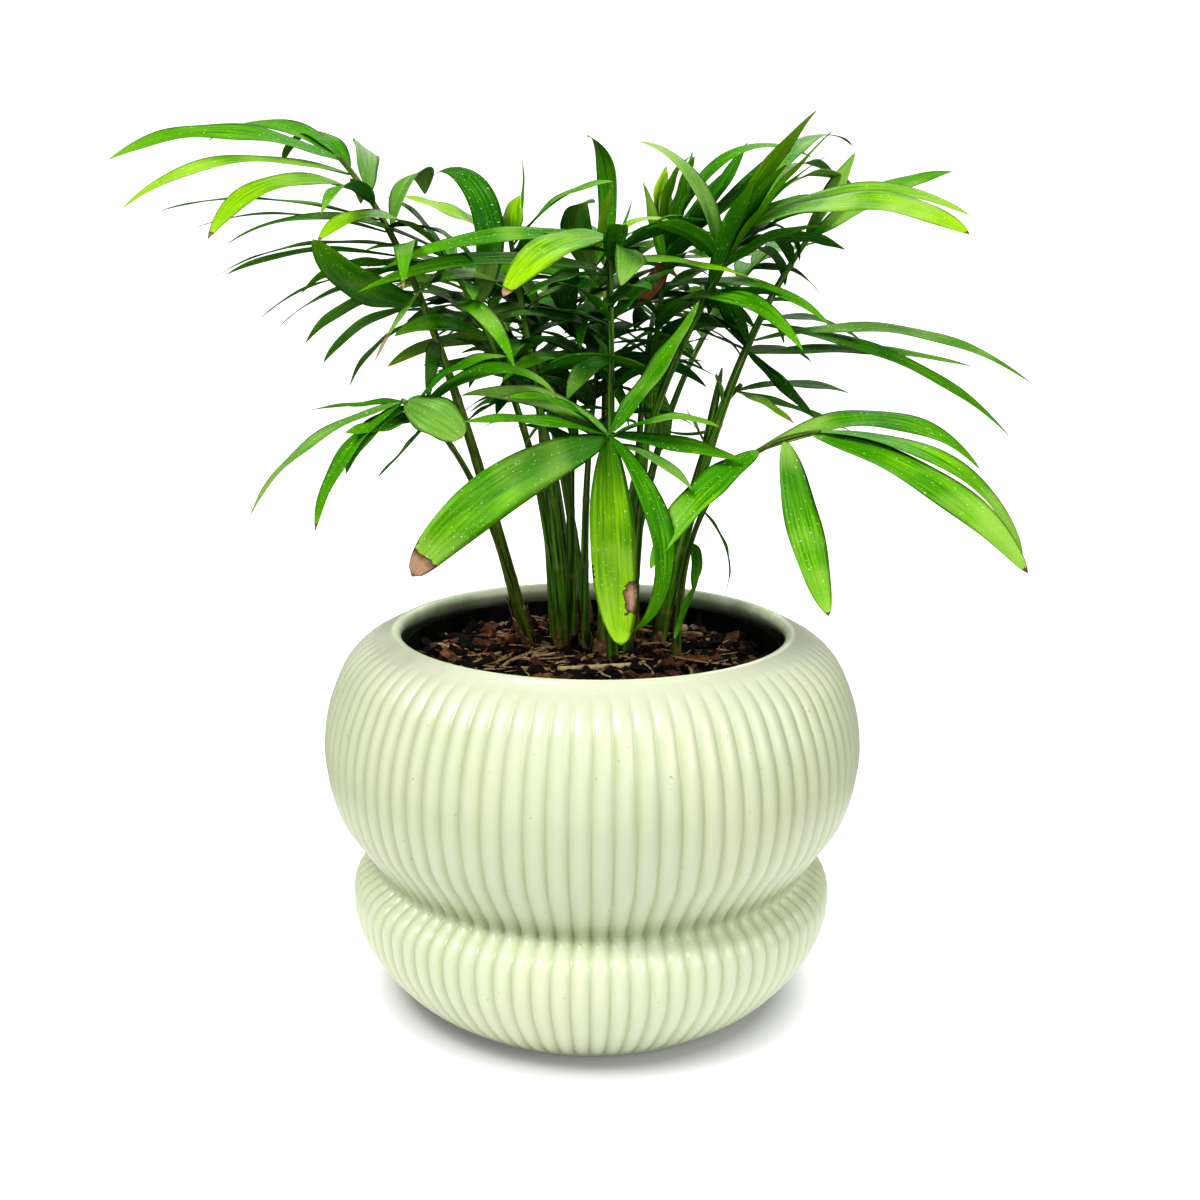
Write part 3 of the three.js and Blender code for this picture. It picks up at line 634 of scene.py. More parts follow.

# %% [markdown]
# Some leaflets give the crown its character: the long arches at the sides, and the broad
# low leaves over the pot. Each of them has its own row. The first values of most rows, and
# of the canes above, came out of a fit and were rounded. Most of these leaflets were then
# turned one by one. Each has a tone, partly the leaf's age, young lime and old deep green,
# and partly painted light: lime and bright where lit, deep where shaded, pale as painted sheen.

# %% Leaflets that have their own rows
# station, bearing, rise, droop, reach, width, roll, sweep, tone, dry share of the tip
MARKED = {
    "left_high": [
        (0.99, 290, 19, 51, 86, 12, 30, 0, "bright", 0), (0.99, 240, 32, 62, 70, 13, 15, 0, "bright", 0),
        (0.96, 300, 12, 53, 91, 10, 20, 5, "lime", 0), (0.92, 320, 15, 70, 80, 12, 20, 0, "lime", 0.03),
        (0.92, 190, 50, 95, 60, 12, -35, 0, "pale", 0.05), (0.71, 330, 5, -40, 70, 15, -35, 0, "mid", 0),
        (0.97, 235, 55, 130, 45, 11, 10, 0, "mid", 0), (0.84, 120, 85, 150, 50, 13, 15, 70, "pale", 0),
    ],
    "left_inner": [
        (1, 325, 30, 70, 70, 12, 15, 0, "lime", 0.03), (0.99, 290, 25, 60, 85, 10, 15, 0, "mid", 0.03),
        (0.96, 345, -15, 20, 82, 7, -35, 0, "pale", 0.2), (0.85, 230, 120, 145, 76, 12, 35, -5, "deep", 0),
    ],
    "left_low": [
        (0.99, 240, -5, 5, 45, 9, 10, 0, "mid", 0), (1, 290, -15, 50, 70, 9, 10, 0, "pale", 0.04),
        (1, 315, -25, 55, 60, 9, 0, 0, "mid", 0.05), (0.96, 90, 50, 55, 40, 10, -15, 0, "mid", 0),
        (0.99, 70, -20, 20, 25, 18, -40, 0, "pale", 0), (0.93, 105, 45, 105, 60, 8, -30, 0, "mid", 0),
    ],
    "left_back": [
        (0.87, 305, 10, 40, 70, 12, 20, 0, "lime", 0), (0.9, 315, 80, 150, 35, 13, -10, 0, "deep", 0),
        (0.89, 55, -5, 55, 55, 11, -10, 0, "mid", 0),
    ],
    "top_left": [
        (0.99, 305, 25, 15, 50, 10, 35, 0, "yellow", 0), (0.98, 70, 50, 50, 50, 11, -20, 0, "mid", 0),
        (0.99, 330, 75, -80, 20, 14, 20, 0, "lime", 0), (0.99, 155, 50, -60, 35, 3, 30, 0, "mid", 0),
        (0.98, 65, -65, 0, 30, 10, 0, 0, "deep", 0.1),
    ],
    "top_middle": [
        (0.99, 340, 135, 145, 70, 12, 25, 0, "mid", 0), (0.96, 310, 65, 75, 55, 13, -20, 90, "mid", 0),
        (0.8, 315, 45, 15, 50, 14, 30, 85, "deep", 0), (0.99, 35, 70, 0, 35, 8, -25, 0, "yellow", 0.06),
        (0.99, 130, 40, -35, 35, 3, 10, 0, "mid", 0),
    ],
    "centre_high": [
        (1, 325, 0, 45, 70, 14, 30, 0, "lime", 0.06), (0.98, 65, -10, 55, 30, 13, 15, -120, "pale", 0),
        (0.95, 75, 0, 20, 60, 9, -15, 0, "lime", 0), (0.99, 105, 40, 95, 35, 6, -15, 0, "yellow", 0.05),
        (0.99, 300, 5, 30, 95, 9, 35, 0, "mid", 0), (0.92, 300, 10, 35, 105, 9, 35, 0, "mid", 0),
    ],
    "centre_front": [
        (0.98, 300, -14, 38, 92, 18.5, 75, 0, "bright", 0.09),
        (0.99, 20, -85, -30, 78, 18, -5, -10, "lime", 0),
        (1, 30, -25, 130, 93, 11, 0, 20, "mid", 0.02), (1, 80, -5, 10, 50, 9, -30, 0, "mid", 0),
        (1, 300, 15, 20, 60, 10, 20, 0, "mid", 0), (1, 250, 30, 45, 60, 12, 30, 10, "pale", 0),
        (0.99, 110, 50, -10, 60, 12, -15, 0, "mid", 0), (0.96, 55, -5, 40, 40, 8, -5, 0, "pale", 0),
    ],
    "top_right": [
        (0.98, 240, 55, -25, 40, 9, -75, -140, "yellow", 0), (0.98, 40, 105, 85, 45, 9, -15, 0, "yellow", 0),
        (0.99, 35, 75, 20, 40, 11, -30, 0, "mid", 0), (1, 100, 75, 110, 80, 9, -20, -10, "mid", 0),
        (0.91, 50, 10, 50, 85, 8, -20, 0, "mid", 0), (0.86, 30, 15, 55, 100, 10, -25, 0, "mid", 0),
        (0.68, 150, -65, 20, 30, 13, 10, -5, "pale", 0), (0.98, 100, 0, -15, 65, 6, -15, 0, "lime", 0),
        (0.97, 325, -45, -15, 27, 8, 40, 0, "dry", 0), (0.98, 80, 70, 105, 30, 11, 30, 0, "deep", 0),
    ],
    "right_high": [
        (0.87, 265, 90, 80, 65, 10, 35, 0, "pale", 0), (0.87, 35, 60, 30, 80, 13, -10, 0, "lime", 0.02),
        (0.9, 45, 50, 15, 70, 10, -15, 0, "lime", 0.06), (0.99, 50, 18, 48, 95, 14, -30, 0, "lime", 0.02),
        (1, 75, 25, 55, 85, 12, -30, 0, "lime", 0), (0.97, 150, 40, 65, 105, 9, 10, 0, "mid", 0),
    ],
    "right_far": [
        (1, 115, 32, 25, 75, 10, -35, 0, "mid", 0), (1, 135, 50, 0, 45, 12, 10, 0, "mid", 0),
        (0.75, 65, 13, 48, 115, 8, -25, 0, "mid", 0.02), (0.79, 90, -8, 38, 115, 8, -35, 0, "mid", 0.02),
        (0.72, 95, 5, 20, 95, 7, -30, 0, "mid", 0), (0.5, 275, 60, 0, 20, 7, 10, 0, "pale", 0),
        (0.6, 285, 75, 0, 14, 7, 0, 0, "pale", 0),
    ],
    "right_low": [
        (0.99, 70, 0, 70, 90, 12, -15, 0, "bright", 0.02),
        (0.97, 55, -10, 40, 95, 15, -25, 0, "bright", 0.02),
        (0.79, 80, 30, 80, 90, 13, -25, 0, "mid", 0), (0.9, 18, -60, -15, 70, 14, -5, 0, "bright", 0.02),
        (0.82, 310, -20, 45, 65, 13, 25, -10, "bright", 0),
        (0.43, 30, -30, 45, 45, 11, -65, -110, "mid", 0),
        (0.55, 90, -50, 60, 35, 6, 5, 0, "mid", 0),
    ],
    "right_spur": [
        (0.97, 95, 10, 30, 50, 9, -15, 10, "mid", 0), (0.97, 105, -15, 10, 55, 9, 15, 0, "mid", 0),
        (0.97, 55, -15, 20, 30, 8, -5, 0, "lime", 0.12),
    ],
}
# rule leaflets that are left out, by their place in the frond: other leaves stand there
CROWDED = {
    "left_high": (0, 1, 2, 4, 5, 6, 8, 9, 10, 11, 12), "left_inner": (1, 2, 3, 4, 5),
    "left_low": (1, 3), "top_left": (0, 1, 2), "top_middle": (1,), "centre_back": (1,),
    "top_right": (0, 6), "right_high": (1,), "right_far": (0, 2), "back_mid_right": (0,),
    "back_right": (0, 2, 6, 8, 10, 12),
}
print("marked leaflets:", sum(len(rows) for rows in MARKED.values()))

# %% [markdown]
# The other leaflets follow one rule, as on the real palm: they stand in pairs, wide off
# the cane at the first pair and closing up towards the last, and each falls under its own
# weight. A small repeatable wobble keeps them from looking stamped.

# %% The rule for a frond
PAIR_OPEN, PAIR_CLOSED = 75, 27  # degrees off the cane at the first pair and the last
FIRST_PAIR = 0.03  # stations between the end of the bare cane and the first pair
RULE_WIDTH, RULE_DROOP, RULE_ROLL = 9, 52, -12


def wobble(key):
    """A number from -1 to 1, always the same for a key: the fraction of a large sine."""
    v = np.sin(key * 12.9898) * 43758.5453
    return 2 * (v - np.floor(v)) - 1


def rule_leaflets(name, seed):
    """Rows like MARKED's. Pair i of n stands at f = i / (n - 1) of the leafy part; the angle
    off the cane goes from open to closed, and the reach swells in the middle."""
    pairs, reach, last, lift, tone = FRONDS[name]
    _, _, bearing, rise, droop, _, _, late, bare, _ = STEMS[name]
    i, hand = np.repeat(np.arange(pairs), 2), np.tile([-1, 1], pairs)
    f = i / max(pairs - 1, 1)
    station = bare + FIRST_PAIR + (last - bare - FIRST_PAIR) * f
    level = np.clip((rise - droop * station**late) * 0.35 + lift, -25, 45)
    swollen = 0.72 + 0.28 * np.sin(np.pi * (0.15 + 0.75 * f))
    key = seed * 100 + 2 * i + (hand > 0)
    spread = PAIR_OPEN - (PAIR_OPEN - PAIR_CLOSED) * f + 8 * wobble(key)
    size = reach * (1 + 0.08 * wobble(key + 0.9)) * swollen
    dry = np.where(wobble(key + 0.5) > 0.6, 0.05, 0.0)
    rows = zip(station, bearing + hand * spread, level + 8 * wobble(key + 0.3),
               RULE_DROOP + 14 * wobble(key + 0.6), size, 0 * f + RULE_WIDTH, RULE_ROLL * hand,
               0 * f, [tone] * len(f), dry)
    return [row for k, row in enumerate(rows) if k not in CROWDED.get(name, ())]


# %% [markdown]
# Two more rules carry the crown to its finer leaves. A fan is a row of narrow leaflets that
# leave one stretch of a cane: every size runs evenly from the first leaflet to the last, so
# a few numbers give the whole row. The inner leaves are short and dark. They stand round
# the canes by the golden angle, which never repeats a direction, and close up the middle.

# %% Fans and inner leaves
# count, then station, bearing, rise, droop, reach of the first and the last, width, tone
FANS = {
    "left_high": [(9, (0.69, 240, -15, 45, 50), (0.87, 255, 14, 28, 96), 8, "mid")],
    "left_inner": [(3, (0.99, 245, 60, 40, 33), (0.83, 245, 10, 40, 33), 11, "deep")],
    "left_low": [(2, (0.93, 315, -15, -10, 35), (0.89, 295, -45, -10, 28), 9, "mid")],
    "left_back": [(3, (0.87, 270, 5, -20, 50), (0.75, 300, -10, 30, 45), 13, "deep")],
    "top_right": [(3, (0.99, 110, 40, -10, 70), (0.97, 140, 40, -10, 50), 10, "deep"),
                  (5, (0.95, 300, 70, -5, 34), (0.99, 60, 72, -5, 40), 7, "bright")],
    "right_high": [(3, (0.84, 20, 62, 25, 56), (0.9, 50, 58, 35, 60), 8, "mid"),
                   (3, (0.97, 120, 45, 65, 50), (0.99, 150, 45, 65, 110), 9, "mid"),
                   (3, (0.91, 130, 30, 120, 42), (0.96, 130, 30, 120, 42), 10, "deep")],
    "right_far": [(3, (0.73, 290, 25, 10, 30), (0.74, 325, 45, 10, 35), 8, "deep"),
                  (2, (0.73, 120, -35, 0, 30), (0.73, 115, -35, 0, 45), 8, "deep")],
}
# inner leaves of a cane: count, lowest station
INNER = {
    "left_high": (5, 0.6), "left_inner": (8, 0.7), "left_back": (10, 0.66), "top_left": (12, 0.62),
    "top_middle": (12, 0.6), "centre_back": (14, 0.62), "centre_high": (10, 0.6), "top_right": (10, 0.68),
    "right_high": (4, 0.78), "back_left": (6, 0.5), "back_mid_left": (6, 0.45),
    "back_middle": (7, 0.62), "back_mid_right": (4, 0.66), "back_right": (4, 0.72),
}
GOLDEN_ANGLE = 137.5
INNER_LAST = 0.97  # station of the highest inner leaf
INNER_TONES = ["deep", "deep", "mid"]  # dealt out in turn; deep is partly painted shade inside the crown


def fan_leaflets(name):
    """Rows like MARKED's for the fans of a cane. Leaflet k of n takes each size a share
    k / (n - 1) of the way from the first to the last, and wobbles by a few degrees."""
    rows = []
    for count, first, last, width, tone in FANS.get(name, ()):
        share = np.linspace(0, 1, count)[:, None]
        sizes = np.array(first) * (1 - share) + np.array(last) * share
        key = first[1] + 3.1 * np.arange(count)
        sizes[:, 1:4] += 5 * wobble(key[:, None] + np.array([0.2, 0.5, 0.8]))
        for k, size in enumerate(sizes):
            rows.append((*size, width, 25 * wobble(key[k]), 0, tone, 0.04 * (k % 3 == 1)))
    return rows


def inner_leaflets(name, seed):
    """Rows like MARKED's for the inner leaves: leaf k is turned by k golden angles."""
    count, low = INNER.get(name, (0, 0))
    k = np.arange(count)
    key = 31 * seed + 1.7 * k
    station = low + (INNER_LAST - low) * (k + 0.5) / max(count, 1)
    rows = zip(station, 40 * seed + GOLDEN_ANGLE * k, 22 + 22 * wobble(key), 55 + 25 * wobble(key + 0.3),
               46 + 10 * wobble(key + 0.6), 8.5 + 2 * wobble(key + 0.8), 40 * wobble(key + 0.1),
               0 * key, INNER_TONES * count, 0 * key)
    return list(rows)


GROWN = {}
for seed, name in enumerate(STEMS):
    by_rule = fan_leaflets(name) + rule_leaflets(name, seed) + inner_leaflets(name, seed)
    GROWN[name] = MARKED.get(name, []) + by_rule
print("leaflets:", sum(len(rows) for rows in GROWN.values()))

# %% Growing along an arc
CANE_STEPS = 100
CANE_FOOT = 0.3  # a cane's path starts this far over the firm soil


def heading(elevation, bearing):
    """A direction from degrees up and a bearing: 0 is towards -Y, and 90 is +X."""
    e, b = np.radians(elevation), np.radians(bearing)
    return np.stack([np.cos(e) * np.sin(b), -np.cos(e) * np.cos(b), np.sin(e)], -1)


def leaning(q, bearing, rise, droop, sweep, late):
    """Elevation and bearing at each q of each arc: the elevation is rise - droop * q^late,
    and the bearing is bearing + sweep * q."""
    return rise[:, None] - droop[:, None] * q**late[:, None], bearing[:, None] + sweep[:, None] * q


def arcs(start, way, reach, steps):
    """Paths of many arcs; step i is reach / steps long and heads as at q = (i + 0.5) / steps.
    way holds the five numbers of each arc that leaning takes."""
    q = (np.arange(steps) + 0.5) / steps
    step = heading(*leaning(q, *way)) * (reach / steps)[:, None, None]
    return start[:, None] + np.concatenate([0 * step[:, :1], np.cumsum(step, 1)], 1)


def across_and_up(q, way):
    """At each q of each arc: the level direction across it, and the one square to both,
    which points down from a level arc."""
    elevation, bearing = leaning(q, *way)
    b = np.radians(bearing)
    side = np.stack([np.cos(b), np.sin(b), 0 * b], -1)
    return side, np.cross(side, heading(elevation, bearing))


def as_arrays(*numbers):
    """Each number as an array of one, for a single arc."""
    return [np.array([number], float) for number in numbers]


def on_cane(name, at):
    """Points on a cane; at counts its steps, and may lie between two of them."""
    steps = np.arange(CANE_STEPS + 1)
    return np.stack([np.interp(at, steps, CANE_PATH[name][:, k]) for k in range(3)], -1)


CANE_WAY, CANE_PATH = {}, {}
for name, (fx, fy, bearing, rise, droop, length, sweep, late, _, _) in STEMS.items():
    CANE_WAY[name] = as_arrays(bearing, rise, droop, sweep, late)
    foot = np.array([(fx, fy, SOIL_TOP + CANE_FOOT)])
    CANE_PATH[name] = arcs(foot, CANE_WAY[name], *as_arrays(length), CANE_STEPS)[0]
print("highest cane tip:", round(max(p[:, 2].max() for p in CANE_PATH.values())), "mm")

# %% [markdown]
# A cane is a smooth green stem that flares at its foot and thins slowly to the first
# leaflet, then quickly to the tip. It keeps going a little way under the bark, so that no
# gap shows at its foot. Faint rings mark where old leaves stood.

# %% Canes
CANE_SIDES = 16
SLENDER, TOP_SHARE, TIP_RADIUS = 0.84, 0.52, 1.0  # share of the foot's radius, then of that
FLARE, FLARE_REACH = 0.3, 6
RING_SPACING, RING_SHIFT, RING_WIDTH, RING_HEIGHT = 27, 9, 1.1, 0.18
UNDERGROUND = 4.0  # how far a cane goes on below its foot


def ring_share(name, along):
    """1 on an old ring, fading within a millimetre or two; the rings stand 27 mm apart."""
    shift = RING_SHIFT * wobble(STEMS[name][9] + STEMS[name][0])
    from_ring = (along + shift) % RING_SPACING - RING_SPACING / 2
    return np.exp(-(from_ring / RING_WIDTH) ** 2)


def cane_radius(name, q):
    """The foot's radius times a flare that dies away in 6 mm, less a slow taper, then a
    quicker one to the tip; each old ring adds a narrow bump."""
    length, bare, radius = STEMS[name][5], STEMS[name][8], SLENDER * STEMS[name][9]
    top = radius * TOP_SHARE
    flare = 1 + FLARE * np.exp(-q * length / FLARE_REACH)
    slow = flare * (radius + (top - radius) * q / bare)
    quick = top + (TIP_RADIUS - top) * (q - bare) / (1 - bare)
    return np.where(q <= bare, slow, quick) + RING_HEIGHT * ring_share(name, q * length) * (q <= bare)


def stem_piece(name, path, radius, across, along, replaces=(), material=None):
    """A cane or a shoot, mapped by its way round and by the millimetres along it."""
    piece = tube_piece(name, path, radius, *across, CANE_SIDES, "stem_green", replaces, material)
    turn = np.tile(np.abs(np.arange(CANE_SIDES) / CANE_SIDES - 0.5) * 2, len(along))
    give_uv(piece, np.append(turn, (0, 0)), np.append(np.repeat(along, CANE_SIDES), along[[0, -1]]))
    return piece


for name, path in CANE_PATH.items():
    q = np.linspace(0, 1, CANE_STEPS + 1)
    radius = cane_radius(name, q)
    across = [np.concatenate([d[:, :1], d], 1) for d in across_and_up(q, CANE_WAY[name])]
    path = np.vstack([path[:1] - (0, 0, UNDERGROUND), path])[None]
    along = np.append(-UNDERGROUND, q * STEMS[name][5])
    piece = stem_piece("cane_" + name, path, np.append(radius[0], radius)[None], across, along,
                       ["stem_" + name])
    give_value(piece, "ring", np.append(np.repeat(ring_share(name, along), CANE_SIDES), (0, 0)))
print("canes made:", len(CANE_PATH))

# %% Green of the canes
OLIVE_CANES = ("left_high", "left_low", "right_spur", "right_low", "back_middle")
RING_BROWN, FOOT_BROWN = (0.27, 0.24, 0.09), (0.16, 0.12, 0.035)
OLD_FOOT = (4.0, 26.0)  # millimetres up, over which the brown of the foot fades


def streaked(name, dark, light):
    """Streaks along a stem: a noise that is read many times round and few times along. The
    pale streaks are partly the cane's own stripes and partly painted highlight lines. The rings
    are pale brown, and the lowest part turns towards the brown of old bases."""
    stem = Recipe(name, dark, Roughness=0.34, Specular_IOR_Level=0.3)
    uv = stem.uv()
    streak = stem.patches(1.0, 2.0, 0.44, 0.62, vector=stem.scaled(uv, 4.0, 0.03, 1.0))
    thread = stem.patches(1.0, 3.0, 0.44, 0.64, roughness=0.6, vector=stem.scaled(uv, 16.0, 0.05, 1.0))
    share = stem.math("ADD", stem.math("MULTIPLY", streak, 0.65), stem.math("MULTIPLY", thread, 0.35))
    # pale streaks: partly real stripes, partly painted highlight lines
    stem.paint(share, light)
    stem.paint(stem.math("MULTIPLY", stem.value("ring"), 0.35), RING_BROWN)
    old = stem.between(stem.part(uv, "Y"), *OLD_FOOT, 0.85, 0.0)
    stem.paint(stem.math("MULTIPLY", old, stem.patches(190.0, 3.0, 0.4, 0.6)), FOOT_BROWN)
    return stem.finished(share, 0.00014, 0.6)


# the light colours are the pale streaks, partly painted highlights
cane_green = streaked("cane_green", (0.006, 0.035, 0.001), (0.16, 0.38, 0.015))
cane_olive = streaked("cane_olive", (0.014, 0.045, 0.002), (0.20, 0.33, 0.025))
for name in STEMS:
    bpy.data.objects["cane_" + name].data.materials.append(cane_olive if name in OLIVE_CANES else cane_green)
print("olive canes:", len(OLIVE_CANES))

# %% [markdown]
# One cane has two side shoots: a cut stub that stands beside it, and a thin twig on its
# other side. They are short arcs too, whose radius closes in to a blunt tip.

# %% Side shoots
SHOOTS = [  # cane, station, bearing, rise, droop, reach, radius
    ("right_far", 0.42, 90, 80, 0, 48, 1.9), ("right_far", 0.55, 262, -25, -40, 20, 0.7),
]
SHOOT_STEPS = 20
SHOOT_START = 30  # the map of a shoot starts above the brown of a cane's foot
for k, (name, station, bearing, rise, droop, reach, radius) in enumerate(SHOOTS):
    way = as_arrays(bearing, rise, droop, 0, 1)
    start = on_cane(name, np.array([station * CANE_STEPS]))
    q = np.linspace(0, 1, SHOOT_STEPS + 1)
    stem_piece("shoot_%d" % k, arcs(start, way, *as_arrays(reach), SHOOT_STEPS),
               radius * np.sqrt(1 - 0.98 * q**3)[None], across_and_up(q, way), SHOOT_START + q * reach,
               material=cane_green)
print("side shoots:", len(SHOOTS))

# %% [markdown]
# Old leaf bases wrap the feet of the canes as dry brown sheaths, split and flared at the
# top. Each is a thin closed shell: its rings go up outside the cane and come back down
# inside, and the height of the rim changes round it, which makes the ragged edge.

# %% Dry sheaths at the feet
SHEATHS = {  # cane: height, flare
    "left_high": (19, 1.35), "left_low": (13, 1.5), "centre_high": (11, 1.4), "centre_back": (9, 1.4),
    "right_far": (10, 1.35), "top_left": (9, 1.35), "top_right": (11, 1.4), "back_mid_left": (14, 1.5),
    "back_right": (15, 1.5), "back_left": (13, 1.4),
}
SHEATH_ROWS, SHEATH_COLS = 9, 24  # rows on each side of the shell
SHEATH_FIT, SHEATH_THICK = 1.28, 0.35  # radius at its foot in the cane's own, and its wall


def sheath_points(name, height, flare):
    """Rings up the outside, then down the inside; the radius grows from a little more than
    the cane's own to flare times it, and the height of the rim rises and falls round it."""
    r0 = cane_radius(name, np.array([0.05]))[0]
    a = np.arange(SHEATH_COLS) * 2 * np.pi / SHEATH_COLS
    ragged = 1 + 0.28 * np.sin(2 * a + r0 * 9) + 0.12 * np.sin(5 * a + r0 * 31)
    way_up = np.linspace(0, 1, SHEATH_ROWS)
    share = np.concatenate([way_up, way_up[::-1]])[:, None]
    inside = np.repeat([0, 1], SHEATH_ROWS)[:, None]
    h = np.clip(share * height * ragged, 0, None)
    r = r0 * (SHEATH_FIT + (flare - SHEATH_FIT) * share**2)
    r = r - SHEATH_THICK * inside + 0.15 * np.sin(7 * a) * share
    centre = on_cane(name, h / STEMS[name][5] * CANE_STEPS)
    ring = np.stack([np.cos(a), np.sin(a), 0 * a], -1)
    foot = CANE_PATH[name][:1]
    return np.vstack([(centre + r[..., None] * ring).reshape(-1, 3), foot, foot + (0, 0, 0.5)])


new_piece("dry_sheaths", np.vstack([sheath_points(name, *how) for name, how in SHEATHS.items()]),
          tube_faces(2 * SHEATH_ROWS, SHEATH_COLS, len(SHEATHS)),
          material=bark("dry_sheath", (0.06, 0.030, 0.014), (0.32, 0.20, 0.09), 420.0))
print("sheaths:", len(SHEATHS))

# %% [markdown]
# A leaflet is a thin blade that narrows at both ends, is folded a little along its middle
# vein, and has slightly wavy edges. A flat card would do from far away. Here each one is a
# closed thin body instead: a ring of points goes over the top, round one edge and back
# underneath, and is carried along the arc. All leaflets of a frond are made at once.

# %% The section of a leaflet
LEAF_RINGS = 40
TOP_SIDE = np.array([1, 0.72, 0.4, 0.12, 0, -0.12, -0.4, -0.72, -1])
LOW_SIDE = TOP_SIDE[::-1][1:-1]
SECTION = np.concatenate([TOP_SIDE, LOW_SIDE])  # places across the blade, -1 to 1
IS_TOP = np.repeat([1.0, 0.0], [len(TOP_SIDE), len(LOW_SIDE)])
BLADE_THICK, MIDRIB = 0.34, 0.35
BLADE_FULL = 0.96  # share of the row's width that the blade has
BLADE_DROOP_LATE = 1.5
HIGHEST_STATION = 0.995
TWIST = 9  # degrees by which a blade may turn along its length


def blade_share(q, width):
    """Half width as a share of the widest: (q / m)^a * ((1 - q) / (1 - m))^b with
    m = a / (a + b). Broad leaflets have smaller powers, which makes them blunter."""
    broad = np.clip((width[:, None] - 10) / 8, 0, 1)
    a, b = 0.74 - 0.14 * broad, 0.9 - 0.4 * broad
    middle = a / (a + b)
    return (q / middle) ** a * ((1 - q) / (1 - middle)) ** b


def leaflet_points(name, rows, seed):
    """Points of all leaflets of a frond. Each point is the arc's, plus u * half width across
    it, plus a lift: the fold grows with |u|, the wave with u squared, and the top and bottom
    stand half a thickness either side, thinner towards the tip."""
    numbers = np.array([row[:8] for row in rows], float)
    station, bearing, rise, droop, reach, width, roll, sweep = numbers.T
    way = (bearing, rise, droop, sweep, 0 * reach + BLADE_DROOP_LATE)
    start = on_cane(name, np.minimum(station, HIGHEST_STATION) * CANE_STEPS)
    path = arcs(start, way, reach, LEAF_RINGS)
    q = np.arange(1, LEAF_RINGS) / LEAF_RINGS
    side, up = across_and_up(q, way)
    picks = np.random.default_rng(seed)
    count = len(rows)
    twist = np.radians(roll[:, None] + picks.normal(0, TWIST, (count, 1)) * (q - 0.4))[..., None]
    across = side * np.cos(twist) + up * np.sin(twist)
    lift = side * np.sin(twist) - up * np.cos(twist)
    half = (BLADE_FULL * blade_share(q, width) * width[:, None] / 2)[..., None]
    phase = picks.uniform(0, 2 * np.pi, (count, 1, 1))
    waves = picks.uniform(1.5, 3.2, (count, 1, 1))
    way_along = q[None, :, None]
    thinner = np.sqrt(1 - way_along)
    fold = (0.17 - 0.1 * way_along) * np.abs(SECTION)
    wave = 0.1 * SECTION**2 * np.sin(2 * np.pi * waves * way_along + phase + 1.7 * (SECTION > 0))
    body = BLADE_THICK * (1 - np.abs(SECTION) ** 3) * (IS_TOP - 0.5)
    rib = -MIDRIB * np.exp(-(SECTION / 0.1) ** 2) * (1 - IS_TOP)
    high = half * (fold + wave) + (body + rib) * thinner
    points = path[:, 1:-1, None] + (half * SECTION)[..., None] * across[:, :, None]
    points = points + high[..., None] * lift[:, :, None]
    return np.concatenate([points.reshape(count, -1, 3), path[:, :1], path[:, -1:]], 1)


# %% [markdown]
# The colour of a leaflet is its tone: young ones are lime, old ones are deep green. The tones
# also paint light and shade: lime and bright ones are lit, deep ones shaded, and pale ones carry
# a painted sheen. A tone is dealt out by leaflet, as one material each. Two point values, named
# along and burn, tell the material how far a point is from the root and how dry it is.

# %% Leaf finishes
# Tones are partly real, young leaves lime and old ones deep green, and partly painted light: lime and bright
# are lit copies, deep is a shaded copy, and pale is a painted sheen.
TONES = {  # between the veins, on the veins
    "lime": ((0.060, 0.260, 0.0003), (0.340, 0.640, 0.003)),
    "bright": ((0.030, 0.200, 0.0003), (0.190, 0.500, 0.002)),
    "mid": ((0.018, 0.150, 0.0003), (0.120, 0.400, 0.001)),
    "deep": ((0.005, 0.075, 0.0003), (0.045, 0.230, 0.001)),
    "pale": ((0.080, 0.240, 0.020), (0.240, 0.450, 0.090)),
    "yellow": ((0.180, 0.420, 0.003), (0.330, 0.600, 0.015)),
    "dry": ((0.028, 0.012, 0.005), (0.190, 0.095, 0.040)),
}
SHADE_SHINE, SUN_SHINE = 0.08, 0.16  # the older leaves are duller
LIGHT_TIP = (1.3, 1.1, 1.0)  # how much lighter than the veins a tip is
# the colour of the soft pale patches, a painted highlight, and of the real wax specks
PAINTED_SHEEN, WAX_SPECK = (0.46, 0.60, 0.18), (0.62, 0.75, 0.42)
DARK_BURN, PALE_BURN = (0.085, 0.035, 0.016), (0.42, 0.27, 0.17)  # edge and middle of a dry patch


